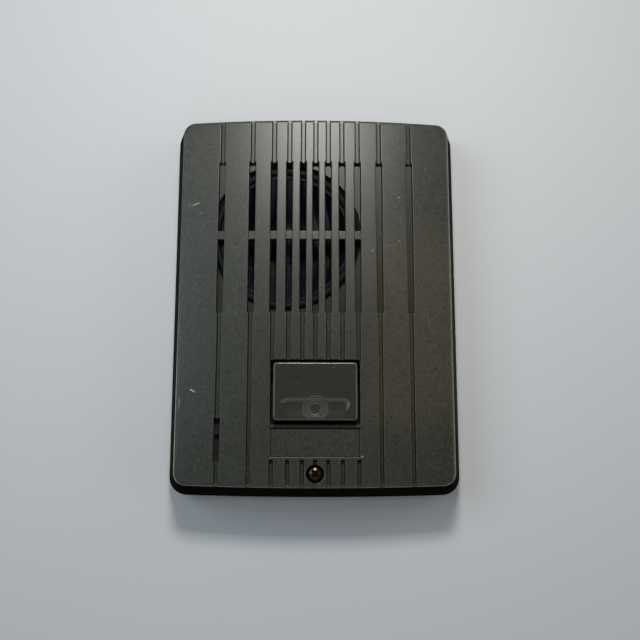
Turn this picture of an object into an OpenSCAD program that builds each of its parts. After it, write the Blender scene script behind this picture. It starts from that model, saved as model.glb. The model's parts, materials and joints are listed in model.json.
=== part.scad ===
// Surface-mounted door station: slotted speaker cover, hinged call button, microphone and wall bracket.
// Pieces are drawn face up: x across the front, y up the front, z out from the wall.
// upright() then stands them on the wall, so that the front looks along -Y and +Z is up.

/* [Case] */
// Width of the cover at its rim
case_w = 99; // [94:0.5:106]
// Height of the cover at its rim, over the bowed ends
case_h = 132.4; // [131:0.2:142]
// Depth from the wall to the middle of the front
case_d = 22; // [21.5:0.25:26]
// Height of the cover's rim above the wall
rim_z = 4.5; // [4.2:0.1:5.5]
// Thickness of the cover's side walls at the rim
cover_wall = 2.9; // [2.4:0.1:3.4]
// Thickness of the front wall in the middle
front_wall = 3.8; // [3.5:0.1:4.2]
// Radius of the front's bow across the width
crown_r = 530; // [450:10:900]
// How far the top and bottom edges bow out in the middle
edge_bow = 1; // [0.4:0.1:1.2]
// How far the walls lean in between the rim and the front
draft = 3.5; // [2.5:0.1:4]
// Radius of the corners at the rim
corner_r = 6; // [5:0.5:8]
// Radius of the corners at the front
face_corner_r = 4; // [3:0.5:5]
// Radius of the rounded front edge
edge_r = 1.2; // [1:0.1:1.6]

/* [Grooves and grille] */
// Distances between the grooves, from the middle outwards
groove_pitch = [4.3, 4.7, 5.3, 7.4, 10.4];
// Width of a groove
groove_w = 1.45; // [1:0.05:2]
// Depth of a groove
groove_depth = 0.9; // [0.5:0.1:1.2]
// Width of a grille slot
slot_w = 2.25; // [1.8:0.05:2.8]
// Upper end of the grille slots, above the middle of the front
slot_top = 47.3; // [45:0.1:52]
// Lower end of the grille slots, below the middle of the front
slot_low = 5.4; // [3:0.1:6.5]
// Thickness of the wall that is left under a grille slot
slot_floor = 1.4; // [1.1:0.1:1.8]
// Height of the bar across the open slots
bar_h = 3; // [2:0.1:4]

/* [Speaker] */
// Middle of the speaker, sideways
speaker_x = -10.2; // [-12:0.1:-8]
// Middle of the speaker, upwards
speaker_y = 21.4; // [20:0.1:23]
// Radius of the opening behind the grille
opening_r = 25.6; // [24.9:0.1:25.6]
// Radius of the speaker's flange
speaker_r = 28.5; // [28:0.1:29]
// Depth of the speaker behind its flange
speaker_depth = 12.8; // [12:0.1:13]
// Thickness of the ring that seals the speaker
speaker_gasket_t = 0.7; // [0.5:0.1:1]
// Travel of the cone each way; the coil overhangs its plate by as much
cone_travel = 0.4; // [0.1:0.1:0.5]

/* [Call button] */
// Width of the button
button_w = 27.5; // [24:0.5:28]
// Height of the button
button_h = 19; // [18:0.5:20.5]
// Upper edge of the button, below the middle of the front
button_drop = 22.1; // [21.5:0.1:23]
// How far the button stands out of the front
button_proud = 1.2; // [0.6:0.1:2]
// Thickness of the button's face
button_t = 2.6; // [2.2:0.1:3]
// Gap between the button and the sides of its recess
button_gap = 1; // [0.8:0.1:1.6]
// Gap under the button
button_low_gap = 1.2; // [1:0.1:1.6]
// Radius of the hinge pin
pin_r = 0.8; // [0.6:0.05:0.9]
// Swing of the button when it is pressed, in degrees
button_swing = 3.5; // [2:0.1:3.5]
// Width of the finger scoop
scoop_w = 23; // [20:0.5:23.5]
// Height of the finger scoop
scoop_h = 7; // [6:0.25:7.5]
// Depth of the finger scoop
scoop_depth = 0.6; // [0.4:0.1:1.3]

/* [Screw and microphone] */
// Height of the cover screw below the middle of the front
screw_drop = 58.2; // [57.8:0.1:58.4]
// Radius of the cover screw's thread
screw_r = 1.5; // [1.25:0.05:1.6]
// Radius of the cover screw's head
screw_head_r = 2.3; // [2.2:0.05:2.6]
// Length of the microphone slit
mic_slit_l = 12.2; // [10:0.1:13]
// Radius of the microphone capsule
mic_r = 4.85; // [4:0.05:4.9]

/* [Back] */
// Distance between the two wall screws
wall_screw_pitch = 83.5; // [80:0.5:86]
// Radius of the wall screw slots
wall_slot_r = 2.25; // [2:0.05:2.6]
// Length of the wall screw slots
wall_slot_l = 10; // [8:0.5:12]
// Thickness of the wall bracket
bracket_t = 1.2; // [1:0.1:1.4]
// Width of the wall bracket
bracket_w = 70; // [64:1:72]
// Width of the bracket's window for the wires
window_w = 44; // [38:1:48]
// Height of the bracket's window for the wires
window_h = 50; // [46:1:52]

/* [Hidden] */
$fn = 64;

// Clearances: faces that seat, pieces that slide in, turning pins, and cuts that run through
seat_gap = 0.2;
fit_gap = 0.3;
pin_gap = 0.05;
over = 1;

// Levels from the wall outwards
back_recess = 2;
back_wall = 2;
back_in = back_recess + back_wall;
front_in = case_d - front_wall;
slot_z = front_in + slot_floor;
board_t = 1.6;
board_clear = 3.4;
board_back = back_in + board_clear;
board_top = board_back + board_t;

// Hollow of the cover: straight where the rear case slides in, then leaning in with the walls
cavity_w = case_w - 2 * cover_wall;
cavity_h = case_h - 2 * (cover_wall + edge_bow);
cavity_r = corner_r - 2.5;
tongue_h = 2.5;
lean_z = rim_z + tongue_h + 0.5;

// The front face rolls away by its bow; its ends bow out in the middle
function crown(x) = case_d - crown_r + sqrt(crown_r * crown_r - x * x);
function bow(x) = edge_bow * pow(x / (case_w / 2), 2);
function sum_to(list, n) = n == 0 ? 0 : list[n - 1] + sum_to(list, n - 1);
function unit(v) = v / norm(v);

// Grooves, from left to right; the last ones carry the microphone slit and the plain side strips
groove_half = [for (i = [0 : len(groove_pitch)]) sum_to(groove_pitch, i)];
groove_x = concat([for (i = [len(groove_pitch) : -1 : 1]) -groove_half[i]], groove_half);
recess_half_grooves = 3;
edge_groove_x = groove_half[len(groove_pitch)];

// Button, its recess and its hinge
recess_w = button_w + 2 * button_gap;
recess_top = -button_drop + button_gap;
recess_low = -button_drop - button_h - button_low_gap;
recess_h = recess_top - recess_low;
recess_y = (recess_top + recess_low) / 2;
recess_r = 0.8;
button_y = -button_drop - button_h / 2;
button_face = case_d + button_proud;
button_under = button_face - button_t;
button_skirt_t = 1.2;
hinge_inset = 2.3;
hinge_y = -button_drop - hinge_inset;
hinge_z = front_in - pin_r;
skirt_low = hinge_z - pin_r - 1;
tunnel_t = 2;
tunnel_w = recess_w + 2 * tunnel_t;
tunnel_h = recess_h + 2 * tunnel_t;
tunnel_r = recess_r + tunnel_t;
scoop_y = -button_drop - button_h + 1 + scoop_h / 2;
nib_y = scoop_y;
nib_r = 2;

// Seal, switch and what lies between the button and the board
seal_t = 0.8;
seal_skirt_t = 1;
seal_skirt_gap = 2.1;
pip_h = 1.5;
pip_r = 3;
switch_w = 6;
switch_h = 2.4;
plunger_r = 1.7;
plunger_out = 1.1;
plunger_in = 0.5;
plunger_travel = (hinge_y - nib_y) * tan(button_swing);
plunger_top = board_top + switch_h + plunger_out;
plunger_foot = board_top + switch_h - plunger_in;
tunnel_end = plunger_top + seat_gap + seal_t;
pip_top = tunnel_end + pip_h;
seal_skirt_top = front_in - seal_skirt_gap;

// Sloped sill under the button, then a crease and a bare panel
sill_h = 1.1;
sill_drop = 1.6;
sill_rise = 1.2;
crease_w = 0.45;
crease_depth = 1.2;
panel_top = recess_low - sill_h - crease_w;
panel_w = 2 * groove_half[recess_half_grooves] + 0.6;
panel_h = 9;
panel_low = panel_top - panel_h;
panel_depth = 0.6;
foot_groove_top = panel_low - 0.8;

// Cover screw, from its countersunk seat in the front down to the nut on the bracket
screw_y = -screw_drop;
screw_recess_r = screw_head_r + 0.7;
screw_seat = case_d - 2.4;
screw_head_h = 1.8;
screw_tube_r = 3.6;
screw_tip_z = 0.5;
nut_w = 5.5;
nut_t = 2;
nut_roof = 0.8;
nut_well_top = bracket_t + nut_t + seat_gap;
tube_end = nut_well_top + nut_roof;

// Speaker levels, from its flange backwards
surround_t = 0.3;
frame_t = 0.7;
flange_z = front_in - speaker_gasket_t - surround_t;
yoke_back = flange_z - speaker_depth;
yoke_t = 1.2;
magnet_t = 2.6;
top_plate_t = 1;
magnet_r = 15;
magnet_in_r = 9.5;
top_plate_r = 14;
yoke_r = 13.5;
magnet_z = yoke_back + yoke_t;
top_plate_z = magnet_z + magnet_t;
basket_z = top_plate_z + top_plate_t;
basket_floor = basket_z + frame_t;
cone_out_r = opening_r - 3.7;
cone_brim = 1.2;
cone_t = 0.5;
surround_out_r = speaker_r - 0.7;
roll_r = 1.4;
roll_mid_r = opening_r - 1.85;
basket_out_r = opening_r - 0.3;
basket_in_r = 15.5;
pole_r = 6.2;
coil_r = 6.75;
coil_gap = 0.3;
coil_wind_t = 0.25;
neck_z = basket_floor + 1.1;
cone_brim_z = flange_z - 0.05;
clamp_out = 3.4;
clamp_t = 1;
clamp_angles = [90, 210, 330];
clamp_back = flange_z - frame_t - clamp_t;
clamp_screw_end = front_in + 1;
boss_r = 2.8;
self_tap_r = 1.2;
small_head_r = 2.3;
small_head_h = 1.4;

// Tab on the speaker's basket, and the two tags that it carries
tag_angle = -35;
tag_spread = 3;
tab_t = 0.8;
tab_z = (flange_z + basket_floor) / 2;
tab_in_r = (basket_out_r + basket_in_r) / 2;
tag_r = tab_in_r + 4.2;
tag_back = tab_z - 1.4;

// Microphone in the lower part of the left groove
mic_x = -edge_groove_x;
mic_slit_top = -40.3;
mic_slit_w = 2.1;
mic_slit_tail = 2.1;
mic_y = mic_slit_top - mic_slit_l / 2;
mic_boot_t = 1.15;
mic_h = 4.8;
mic_boot_r = mic_r + mic_boot_t;
mic_back = front_in - seat_gap - mic_boot_t - mic_h;

// Circuit board: below the speaker, above the cover screw
board_side = 38;
board_y_top = speaker_y - speaker_r - 2.4;
board_y_low = screw_y + screw_tube_r + 2.6;
post_x = board_side - 4;
post_in = 3.5;
board_posts = [
    [-post_x, board_y_top - post_in], [post_x, board_y_top - post_in],
    [post_x, board_y_low + post_in], [-21.5, board_y_low + 2.6]
];
post_r = 2.6;
board_screw_l = board_t + 5;
core_x = -28;
core_y = board_y_top - 22;
core_w = 15;
core_l = 13;
core_h = 6;
core_limb = 3;
core_mid = 4;
core_slot = (core_w - 2 * core_limb - core_mid) / 2;
connector_x = 26.5;
connector_y = board_y_top - 5.5;

// Terminal block on the back of the board
block_w = 30;
block_h = 12;
block_y = board_y_top - 8;
bay_w = block_w + 2;
bay_h = block_h + 2;
bay_top = block_y + bay_h / 2;

// Room above the terminals, where the wires from the wall bend round
wire_room_top = 3;
wire_room_wall = 1.2;
wire_room_in = board_back - fit_gap - wire_room_wall;
terminal_x = 7.5;
plate_t = 0.8;
terminal_head_h = 1;
terminal_pin_w = 0.8;
pin_hole_w = terminal_pin_w + seat_gap;
terminal_pin_out = 0.8;
terminal_pin_y = block_y + 4;

// Rear case, gasket, and the screws that join it to the cover
skirt_inset = 0.8;
skirt_w = case_w - 2 * skirt_inset;
skirt_h = case_h - 2 * (edge_bow + skirt_inset);
skirt_r = corner_r - skirt_inset;
skirt_t = 1.6;
tongue_t = 1.5;
gasket_inset = 0.5;
gasket_w = 1.1;
gasket_t = 0.9;
case_screw_x = cavity_w / 2 - 5.6;
case_screw_y = cavity_h / 2 - 6.6;
case_boss_r = 3.2;
case_screw_l = 9;
case_screw_r = 1.5;
case_head_r = 2.7;
case_head_h = 1.3;

// Bracket hooks and the wells over the wall screws' heads
bracket_h = skirt_h - 2 * skirt_t - 1.6;
bracket_r = 3;
hook_x = 15;
hook_w = 9;
hook_y = bracket_h / 2 - 7;
hook_reach = 3.5;
well_r = wall_slot_r + 2.75;
well_top = back_recess + 2.2;
well_roof = 1;

// Colours
cover_colour = [0.29, 0.29, 0.26];
button_colour = [0.16, 0.16, 0.14];
rear_colour = [0.14, 0.14, 0.13];
rubber_colour = [0.07, 0.07, 0.07];
steel_colour = [0.72, 0.73, 0.74];
brass_colour = [0.72, 0.56, 0.26];
cone_colour = [0.05, 0.06, 0.08];
ferrite_colour = [0.2, 0.2, 0.21];
board_colour = [0.55, 0.42, 0.2];
copper_colour = [0.7, 0.38, 0.18];
switch_colour = [0.1, 0.1, 0.1];
white_colour = [0.86, 0.85, 0.8];

module upright() {
    rotate([90, 0, 0]) children();
}

module rounded_rect(w, h, r) {
    square([w - 2 * r, h], center = true);
    square([w, h - 2 * r], center = true);
    for (sx = [-1, 1], sy = [-1, 1]) {
        translate([sx * (w / 2 - r), sy * (h / 2 - r)]) circle(r = r);
    }
}

module rounded_plate(w, h, r, z0, z1) {
    translate([0, 0, z0]) linear_extrude(z1 - z0) rounded_rect(w, h, r);
}

// A slot whose length runs up the front
module slot_outline(r, l) {
    square([2 * r, l - 2 * r], center = true);
    for (s = [-1, 1]) {
        translate([0, s * (l / 2 - r)]) circle(r = r);
    }
}

module block(w, h, z0, z1) {
    translate([-w / 2, -h / 2, z0]) cube([w, h, z1 - z0]);
}

module rod(r, z0, z1) {
    translate([0, 0, z0]) cylinder(r = r, h = z1 - z0);
}

module ring(r_in, r_out, z0, z1) {
    difference() {
        rod(r_out, z0, z1);
        rod(r_in, z0 - over, z1 + over);
    }
}

// Self-tapping pan head screw that is driven from behind: its head lies below z = 0
module rear_screw(head_r, head_h, shank_r, shank_l) {
    difference() {
        union() {
            rod(head_r, -head_h, 0);
            rod(shank_r, 0, shank_l);
        }
        for (a = [0, 90]) {
            rotate(a) block(head_r * 1.1, head_r * 0.26, -head_h - over, -head_h * 0.4);
        }
    }
}

// A round wire swept along points; side_ref is never parallel to the wire
module wire(points, r, sides, side_ref) {
    last = len(points) - 1;
    tangents = [for (i = [0 : last]) unit(points[min(i + 1, last)] - points[max(i - 1, 0)])];
    rings = [
        for (i = [0 : last])
            let (n1 = unit(cross(tangents[i], side_ref)), n2 = cross(tangents[i], n1))
            for (j = [0 : sides - 1])
                points[i] + r * (cos(360 * j / sides) * n1 + sin(360 * j / sides) * n2)
    ];
    walls = [
        for (i = [0 : last - 1], j = [0 : sides - 1])
            let (a = i * sides + j, b = i * sides + (j + 1) % sides)
            each [[a, a + sides, b + sides], [a, b + sides, b]]
    ];
    start = [for (j = [1 : sides - 2]) [0, j, j + 1]];
    end = [for (j = [1 : sides - 2]) [last * sides, last * sides + j + 1, last * sides + j]];
    polyhedron(points = rings, faces = concat(walls, start, end));
}

// Cover

module edge_ring() {
    rotate_extrude($fn = 32) translate([face_corner_r - edge_r, 0]) circle(r = edge_r, $fn = 24);
}

module cover_form() {
    rim_x = case_w / 2 - corner_r;
    face_x = case_w / 2 - draft - face_corner_r;
    hull() {
        for (side = [-1, 1]) {
            for (x = [-rim_x, -rim_x / 2, 0, rim_x / 2, rim_x]) {
                rim_y = case_h / 2 - bow(x) - corner_r;
                translate([x, side * rim_y, rim_z]) cylinder(r = corner_r, h = 1, $fn = 48);
            }
            for (x = concat([-face_x], groove_x, [face_x])) {
                face_y = case_h / 2 - draft - bow(x) - face_corner_r;
                translate([x, side * face_y, crown(x) - edge_r]) edge_ring();
            }
        }
    }
}

// The cover's hollow, smaller by gap all round
module cover_hollow(gap) {
    w = cavity_w - 2 * gap;
    h = cavity_h - 2 * gap;
    rounded_plate(w, h, cavity_r, 0, lean_z);
    hull() {
        rounded_plate(w, h, cavity_r, lean_z - 0.1, lean_z, $fn = 32);
        rounded_plate(w - 2 * draft, h - 2 * draft, cavity_r, front_in - 0.1, front_in, $fn = 32);
    }
}

// A straight cut down from the front at x, between two heights
module front_cut(x, w, y0, y1, floor_z) {
    translate([x - w / 2, y0, floor_z]) cube([w, y1 - y0, case_d + over - floor_z]);
}

module cover_grooves() {
    end_y = case_h / 2 + over;
    for (i = [0 : len(groove_x) - 1]) {
        x = groove_x[i];
        beside = abs(i - len(groove_pitch)) > recess_half_grooves;
        floor_z = crown(x) - groove_depth;
        front_cut(x, groove_w, slot_top - over, end_y, floor_z);
        front_cut(x, groove_w, beside ? -end_y : recess_top - over, -slot_low + over, floor_z);
        if (!beside) {
            front_cut(x, groove_w, -end_y, foot_groove_top, floor_z);
        }
    }
}

module grille_slots() {
    bar_low = speaker_y - bar_h / 2;
    bar_top = speaker_y + bar_h / 2;
    for (x = groove_x) {
        if (abs(x - speaker_x) < opening_r - slot_w / 2) {
            front_cut(x, slot_w, bar_top, slot_top, slot_z);
            front_cut(x, slot_w, -slot_low, bar_low, slot_z);
            front_cut(x, slot_w, bar_low - over, bar_top + over, crown(x) - groove_depth / 2);
        } else {
            front_cut(x, slot_w, -slot_low, slot_top, slot_z);
        }
    }
}

// The recess's lower wall slopes up to the front, and a fine crease parts it from the panel
module button_sill() {
    front_z = crown(recess_w / 2);
    rotate([90, 0, 90]) linear_extrude(recess_w, center = true) polygon([
        [recess_low + recess_r, front_z - sill_drop], [recess_low, front_z - sill_drop],
        [recess_low - sill_h, front_z - sill_drop + sill_rise], [recess_low - sill_h, case_d + over],
        [recess_low + recess_r, case_d + over]
    ]);
    front_cut(0, recess_w, recess_low - sill_h - crease_w, recess_low - sill_h, front_z - crease_depth);
    front_cut(0, panel_w, panel_low, panel_top, front_z - panel_depth);
}

module button_tunnel() {
    translate([0, recess_y, 0]) rounded_plate(tunnel_w, tunnel_h, tunnel_r, tunnel_end, front_in + over);
}

module at_hinge() {
    translate([0, hinge_y, hinge_z]) rotate([0, 90, 0]) children();
}

module at_case_screws() {
    for (sx = [-1, 1], sy = [-1, 1]) {
        translate([sx * case_screw_x, sy * case_screw_y, 0]) children();
    }
}

module cover_bosses() {
    at_case_screws() rod(case_boss_r, back_in, front_in + over);
    for (p = board_posts) {
        translate([p.x, p.y, 0]) rod(post_r, board_top, front_in + over);
    }
    translate([0, screw_y, 0]) rod(screw_tube_r, tube_end, front_in + over);
    translate([mic_x, mic_y, 0]) rod(mic_boot_r + fit_gap + 1.2, mic_back + 1, front_in + over);
    at_clamps() rod(boss_r, flange_z - frame_t, front_in + over);
}

module cover_bores() {
    at_case_screws() rod(case_screw_r + pin_gap, 0, back_in + case_screw_l);
    for (p = board_posts) {
        translate([p.x, p.y, 0]) rod(self_tap_r + pin_gap, board_top - over, board_back + board_screw_l + over);
    }
    at_clamps() {
        rod(self_tap_r + pin_gap, 0, clamp_screw_end + 0.1);
        rod(small_head_r + fit_gap, 0, clamp_back);
    }
    translate([0, screw_y, 0]) {
        rod(screw_r + seat_gap, 0, case_d);
        rod(screw_recess_r, screw_seat, case_d + over);
    }
    translate([mic_x, mic_y, 0]) rod(mic_boot_r + fit_gap, 0, front_in);
}

module front_cover() {
    color(cover_colour) upright() difference() {
        union() {
            difference() {
                cover_form();
                cover_hollow(0);
            }
            button_tunnel();
            cover_bosses();
        }
        cover_grooves();
        grille_slots();
        translate([speaker_x, speaker_y, 0]) rod(opening_r, flange_z - over, slot_z + seat_gap);
        translate([0, recess_y, 0]) {
            rounded_plate(recess_w, recess_h, recess_r, tunnel_end - over, case_d + over);
        }
        button_sill();
        front_cut(mic_x, mic_slit_w, mic_slit_top - mic_slit_l, mic_slit_top, front_in - over);
        front_cut(mic_x, mic_slit_w, mic_slit_top - mic_slit_l - mic_slit_tail, mic_slit_top, slot_z);
        cover_bores();
        at_hinge() rod(pin_r + pin_gap, -tunnel_w / 2 - over, tunnel_w / 2 + over);
    }
}

module cover_screw() {
    cross_w = 0.9;
    cross_l = screw_head_r * 1.2;
    cross_turn = 35;
    dome_r = screw_head_r * 1.9;
    head_mid = screw_seat + screw_head_h / 2;
    head_top = screw_seat + screw_head_h;
    color(brass_colour) upright() translate([0, screw_y, 0]) difference() {
        union() {
            rod(screw_r - pin_gap, screw_tip_z, head_mid);
            rod(screw_head_r, screw_seat, head_mid);
            intersection() {
                rod(screw_head_r, screw_seat, head_top);
                translate([0, 0, head_top - dome_r]) sphere(r = dome_r);
            }
        }
        for (a = [cross_turn, cross_turn + 90]) {
            rotate(a) block(cross_l, cross_w, screw_seat + screw_head_h * 0.3, case_d);
        }
    }
}

// Call button

module button_cap() {
    cap_r = 1.2;
    round_r = 0.6;
    corner_out = 0.05;
    profile_h = 2 * (button_face - skirt_low);
    translate([0, button_y, 0]) intersection() {
        rounded_plate(button_w + 2 * corner_out, button_h + 2 * corner_out, cap_r, skirt_low, button_face);
        translate([0, 0, skirt_low]) rotate([90, 0, 0]) {
            linear_extrude(button_h, center = true) rounded_rect(button_w, profile_h, round_r);
        }
        translate([0, 0, skirt_low]) rotate([90, 0, 90]) {
            linear_extrude(button_w, center = true) rounded_rect(button_h, profile_h, round_r);
        }
    }
}

// Trough with round ends, cut by a ball rolled along x
module scoop(grow) {
    ball_r = (pow(scoop_h / 2, 2) + pow(scoop_depth, 2)) / (2 * scoop_depth);
    reach = scoop_w / 2 - scoop_h / 2;
    translate([0, scoop_y, button_face + ball_r - scoop_depth]) {
        rotate([0, 90, 0]) cylinder(r = ball_r + grow, h = 2 * reach, center = true, $fn = 128);
        for (s = [-1, 1]) {
            translate([s * reach, 0, 0]) sphere(r = ball_r + grow, $fn = 128);
        }
    }
}

module scoop_rings() {
    ring_w = 0.3;
    ring_pitch = 0.65;
    ring_first_r = 1.85;
    ring_last_r = 4.8;
    ring_depth = 0.2;
    intersection() {
        scoop(ring_depth);
        translate([0, scoop_y, 0]) for (r = [ring_first_r : ring_pitch : ring_last_r]) {
            ring(r, r + ring_w, button_face - 2 * scoop_depth, button_face);
        }
    }
}

module call_button() {
    notch_w = 8;
    notch_h = 2 * button_skirt_t + over;
    notch_top = hinge_z + pin_r + 1;
    inner_w = button_w - 2 * button_skirt_t;
    inner_h = button_h - 2 * button_skirt_t;
    color(button_colour) upright() difference() {
        union() {
            difference() {
                button_cap();
                translate([0, button_y, 0]) block(inner_w, inner_h, skirt_low - over, button_under);
            }
            translate([0, nib_y, 0]) rod(nib_r, pip_top + seat_gap, button_under + over / 2);
        }
        scoop(0);
        scoop_rings();
        translate([0, -button_drop, 0]) block(notch_w, notch_h, skirt_low - over, notch_top);
        at_hinge() rod(pin_r + pin_gap, -button_w, button_w);
    }
}

module button_pin() {
    pin_l = tunnel_w - 0.8;
    color(steel_colour) upright() at_hinge() rod(pin_r, -pin_l / 2, pin_l / 2);
}

module button_spring() {
    wire_r = 0.25;
    coil_mid_r = pin_r + fit_gap + wire_r;
    leg_l = 8;
    leg_gap = 0.1;
    turns = 4;
    pitch = 1;
    steps = 12;
    span = turns * steps + steps / 4;
    coil = [
        for (i = [0 : span])
            let (a = 360 * i / steps)
            [pitch * (i - span / 2) / steps, hinge_y + coil_mid_r * sin(a), hinge_z + coil_mid_r * cos(a)]
    ];
    leg_end = [coil[0].x, hinge_y - leg_l, button_under - wire_r - leg_gap];
    foot_end = [coil[span].x, recess_top - wire_r - leg_gap, skirt_low - 0.8];
    color(steel_colour) upright() wire(concat([leg_end], coil, [foot_end]), wire_r, 6, [1, 0, 0]);
}

module button_seal() {
    outer_w = tunnel_w + 2 * seal_skirt_t;
    outer_h = tunnel_h + 2 * seal_skirt_t;
    outer_r = tunnel_r + seal_skirt_t;
    color(rubber_colour) upright() {
        translate([0, recess_y, 0]) difference() {
            rounded_plate(outer_w, outer_h, outer_r, tunnel_end - seal_t, seal_skirt_top);
            rounded_plate(tunnel_w, tunnel_h, tunnel_r, tunnel_end, front_in + over);
        }
        translate([0, nib_y, 0]) rod(pip_r, tunnel_end - seal_t / 2, pip_top);
    }
}

module switch_body() {
    color(switch_colour) upright() translate([0, nib_y, 0]) difference() {
        union() {
            block(switch_w, switch_w, board_top, board_top + switch_h);
            for (sx = [-1, 1], sy = [-1, 1]) {
                translate([sx * (switch_w / 2 + 0.3), sy * 2.2, 0]) block(1.2, 0.7, board_top, board_top + 0.4);
            }
        }
        rod(plunger_r + 0.1, plunger_foot - plunger_travel - seat_gap, board_top + switch_h + over);
    }
}

module switch_plunger() {
    color(white_colour) upright() translate([0, nib_y, 0]) rod(plunger_r, plunger_foot, plunger_top);
}

// Circuit board and what is soldered to it

module circuit_board() {
    board_w = 2 * board_side;
    board_h = board_y_top - board_y_low;
    board_r = 1.5;
    color(board_colour) upright() difference() {
        translate([0, board_y_low + board_h / 2, 0]) {
            rounded_plate(board_w, board_h, board_r, board_back, board_top);
        }
        for (p = board_posts) {
            translate([p.x, p.y, 0]) rod(self_tap_r + 0.3, board_back - over, board_top + over);
        }
        for (x = [-terminal_x, terminal_x]) {
            translate([x, terminal_pin_y, 0]) rod(terminal_pin_w, board_back - over, board_top + over);
        }
    }
}

module board_screws() {
    color(steel_colour) upright() for (p = board_posts) {
        translate([p.x, p.y, board_back]) rear_screw(small_head_r, small_head_h, self_tap_r, board_screw_l);
    }
}

module amplifier_chip() {
    chip_w = 6.4;
    chip_l = 10;
    color(switch_colour) upright() translate([31, board_y_top - 16.5, 0]) {
        block(chip_w, chip_l, board_top + 0.4, board_top + 3.4);
        for (s = [-1, 1], i = [-1.5 : 1 : 1.5]) {
            translate([s * (chip_w / 2 + 0.45), i * 2.54, 0]) block(1.1, 0.6, board_top, board_top + 1.4);
        }
    }
}

module electrolytic_capacitors() {
    can_r = 3.1;
    can_h = 7;
    color(rubber_colour) upright() for (p = [[21.8, -35], [28.6, -35], [-22, -32.9]]) {
        translate([p.x, board_y_top + p.y, board_top]) difference() {
            rod(can_r, 0, can_h);
            ring(can_r - 0.3, can_r + 1, 0.9, 1.6);
            for (a = [0, 90]) {
                rotate(a) block(can_r * 1.3, 0.3, can_h - 0.2, can_h + over);
            }
        }
    }
}

module film_capacitors() {
    color([0.62, 0.2, 0.12]) upright() for (x = [-34, -29.5, -25]) {
        translate([x, board_y_top - 10, 0]) rounded_plate(3, 6.5, 0.7, board_top, board_top + 5.5);
    }
}

module resistors() {
    body_r = 1.1;
    body_l = 5;
    lead_r = 0.3;
    lead_l = 8;
    color([0.78, 0.66, 0.45]) upright() for (i = [0 : 5]) {
        translate([21.5 + 2.9 * i, board_y_top - 26.7, board_top]) {
            translate([0, 0, body_r + 0.2]) rotate([90, 0, 0]) {
                rod(body_r * 0.85, -body_l / 2, body_l / 2);
                rod(body_r, -body_l / 2, -body_l / 4);
                rod(body_r, body_l / 4, body_l / 2);
                rod(lead_r, -lead_l / 2, lead_l / 2);
            }
            for (s = [-1, 1]) {
                translate([0, s * lead_l / 2, 0]) rod(lead_r, 0, body_r + 0.2);
            }
        }
    }
}

module bridge_rectifier() {
    color(switch_colour) upright() translate([22.5, board_y_top - 14, 0]) {
        rounded_plate(6, 6, 1, board_top, board_top + 4.2);
    }
}

module transformer_core() {
    color(ferrite_colour) upright() at_core() difference() {
        block(core_w, core_l, board_top, board_top + core_h);
        for (s = [-1, 1]) {
            translate([s * (core_mid + core_slot) / 2, 0, 0]) {
                block(core_slot, core_l - 2 * core_limb, board_top - over, board_top + core_h + over);
            }
        }
    }
}

module transformer_winding() {
    gap = 0.15;
    winding_w = core_w - 2 * core_limb - 2 * gap;
    winding_l = core_l - 2 * core_limb - 2 * gap;
    winding_h = core_h + 0.8;
    color(copper_colour) upright() at_core() difference() {
        rounded_plate(winding_w, winding_l, 1, board_top, board_top + winding_h);
        block(core_mid + 2 * gap, core_l, board_top - over, board_top + core_h + gap);
    }
}

module at_core() {
    translate([core_x, core_y, 0]) children();
}

module lead_connector() {
    color(white_colour) upright() translate([connector_x, connector_y, 0]) difference() {
        block(7, 5, board_top, board_top + 6);
        for (s = [-1, 1]) {
            translate([s * 1.25, 0, 0]) rod(0.8, board_top + 3, board_top + 7);
        }
    }
}

module terminal_block() {
    color(rear_colour) upright() difference() {
        translate([0, block_y, 0]) block(block_w, block_h, back_in, board_back);
        for (s = [-1, 1]) {
            translate([s * terminal_x, block_y, 0]) rod(screw_r, 0, board_back - 0.6);
            translate([s * terminal_x, terminal_pin_y, 0]) block(pin_hole_w, pin_hole_w, 0, board_back + over);
        }
    }
}

module terminal_plates() {
    color(brass_colour) upright() for (s = [-1, 1]) {
        translate([s * terminal_x, 0, 0]) {
            difference() {
                translate([0, block_y, 0]) rounded_plate(10, 10, 0.8, back_in - plate_t, back_in);
                translate([0, block_y, 0]) rod(screw_r, 0, back_in + over);
            }
            translate([0, terminal_pin_y, 0]) {
                block(terminal_pin_w, terminal_pin_w, back_in - plate_t / 2, board_top + terminal_pin_out);
            }
        }
    }
}

module terminal_screws() {
    color(brass_colour) upright() for (s = [-1, 1]) {
        translate([s * terminal_x, block_y, back_in - plate_t]) {
            rear_screw(2.8, terminal_head_h, screw_r - pin_gap, plate_t + board_clear - 1);
        }
    }
}

// Speaker, turned about its own axis

module at_speaker() {
    translate([speaker_x, speaker_y, 0]) children();
}

module at_clamps() {
    at_speaker() for (a = clamp_angles) {
        rotate(a) translate([speaker_r + clamp_out, 0, 0]) children();
    }
}

module speaker_gasket() {
    color([0.25, 0.25, 0.24]) upright() at_speaker() {
        ring(opening_r + seat_gap, speaker_r - seat_gap, front_in - speaker_gasket_t, front_in);
    }
}

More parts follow.
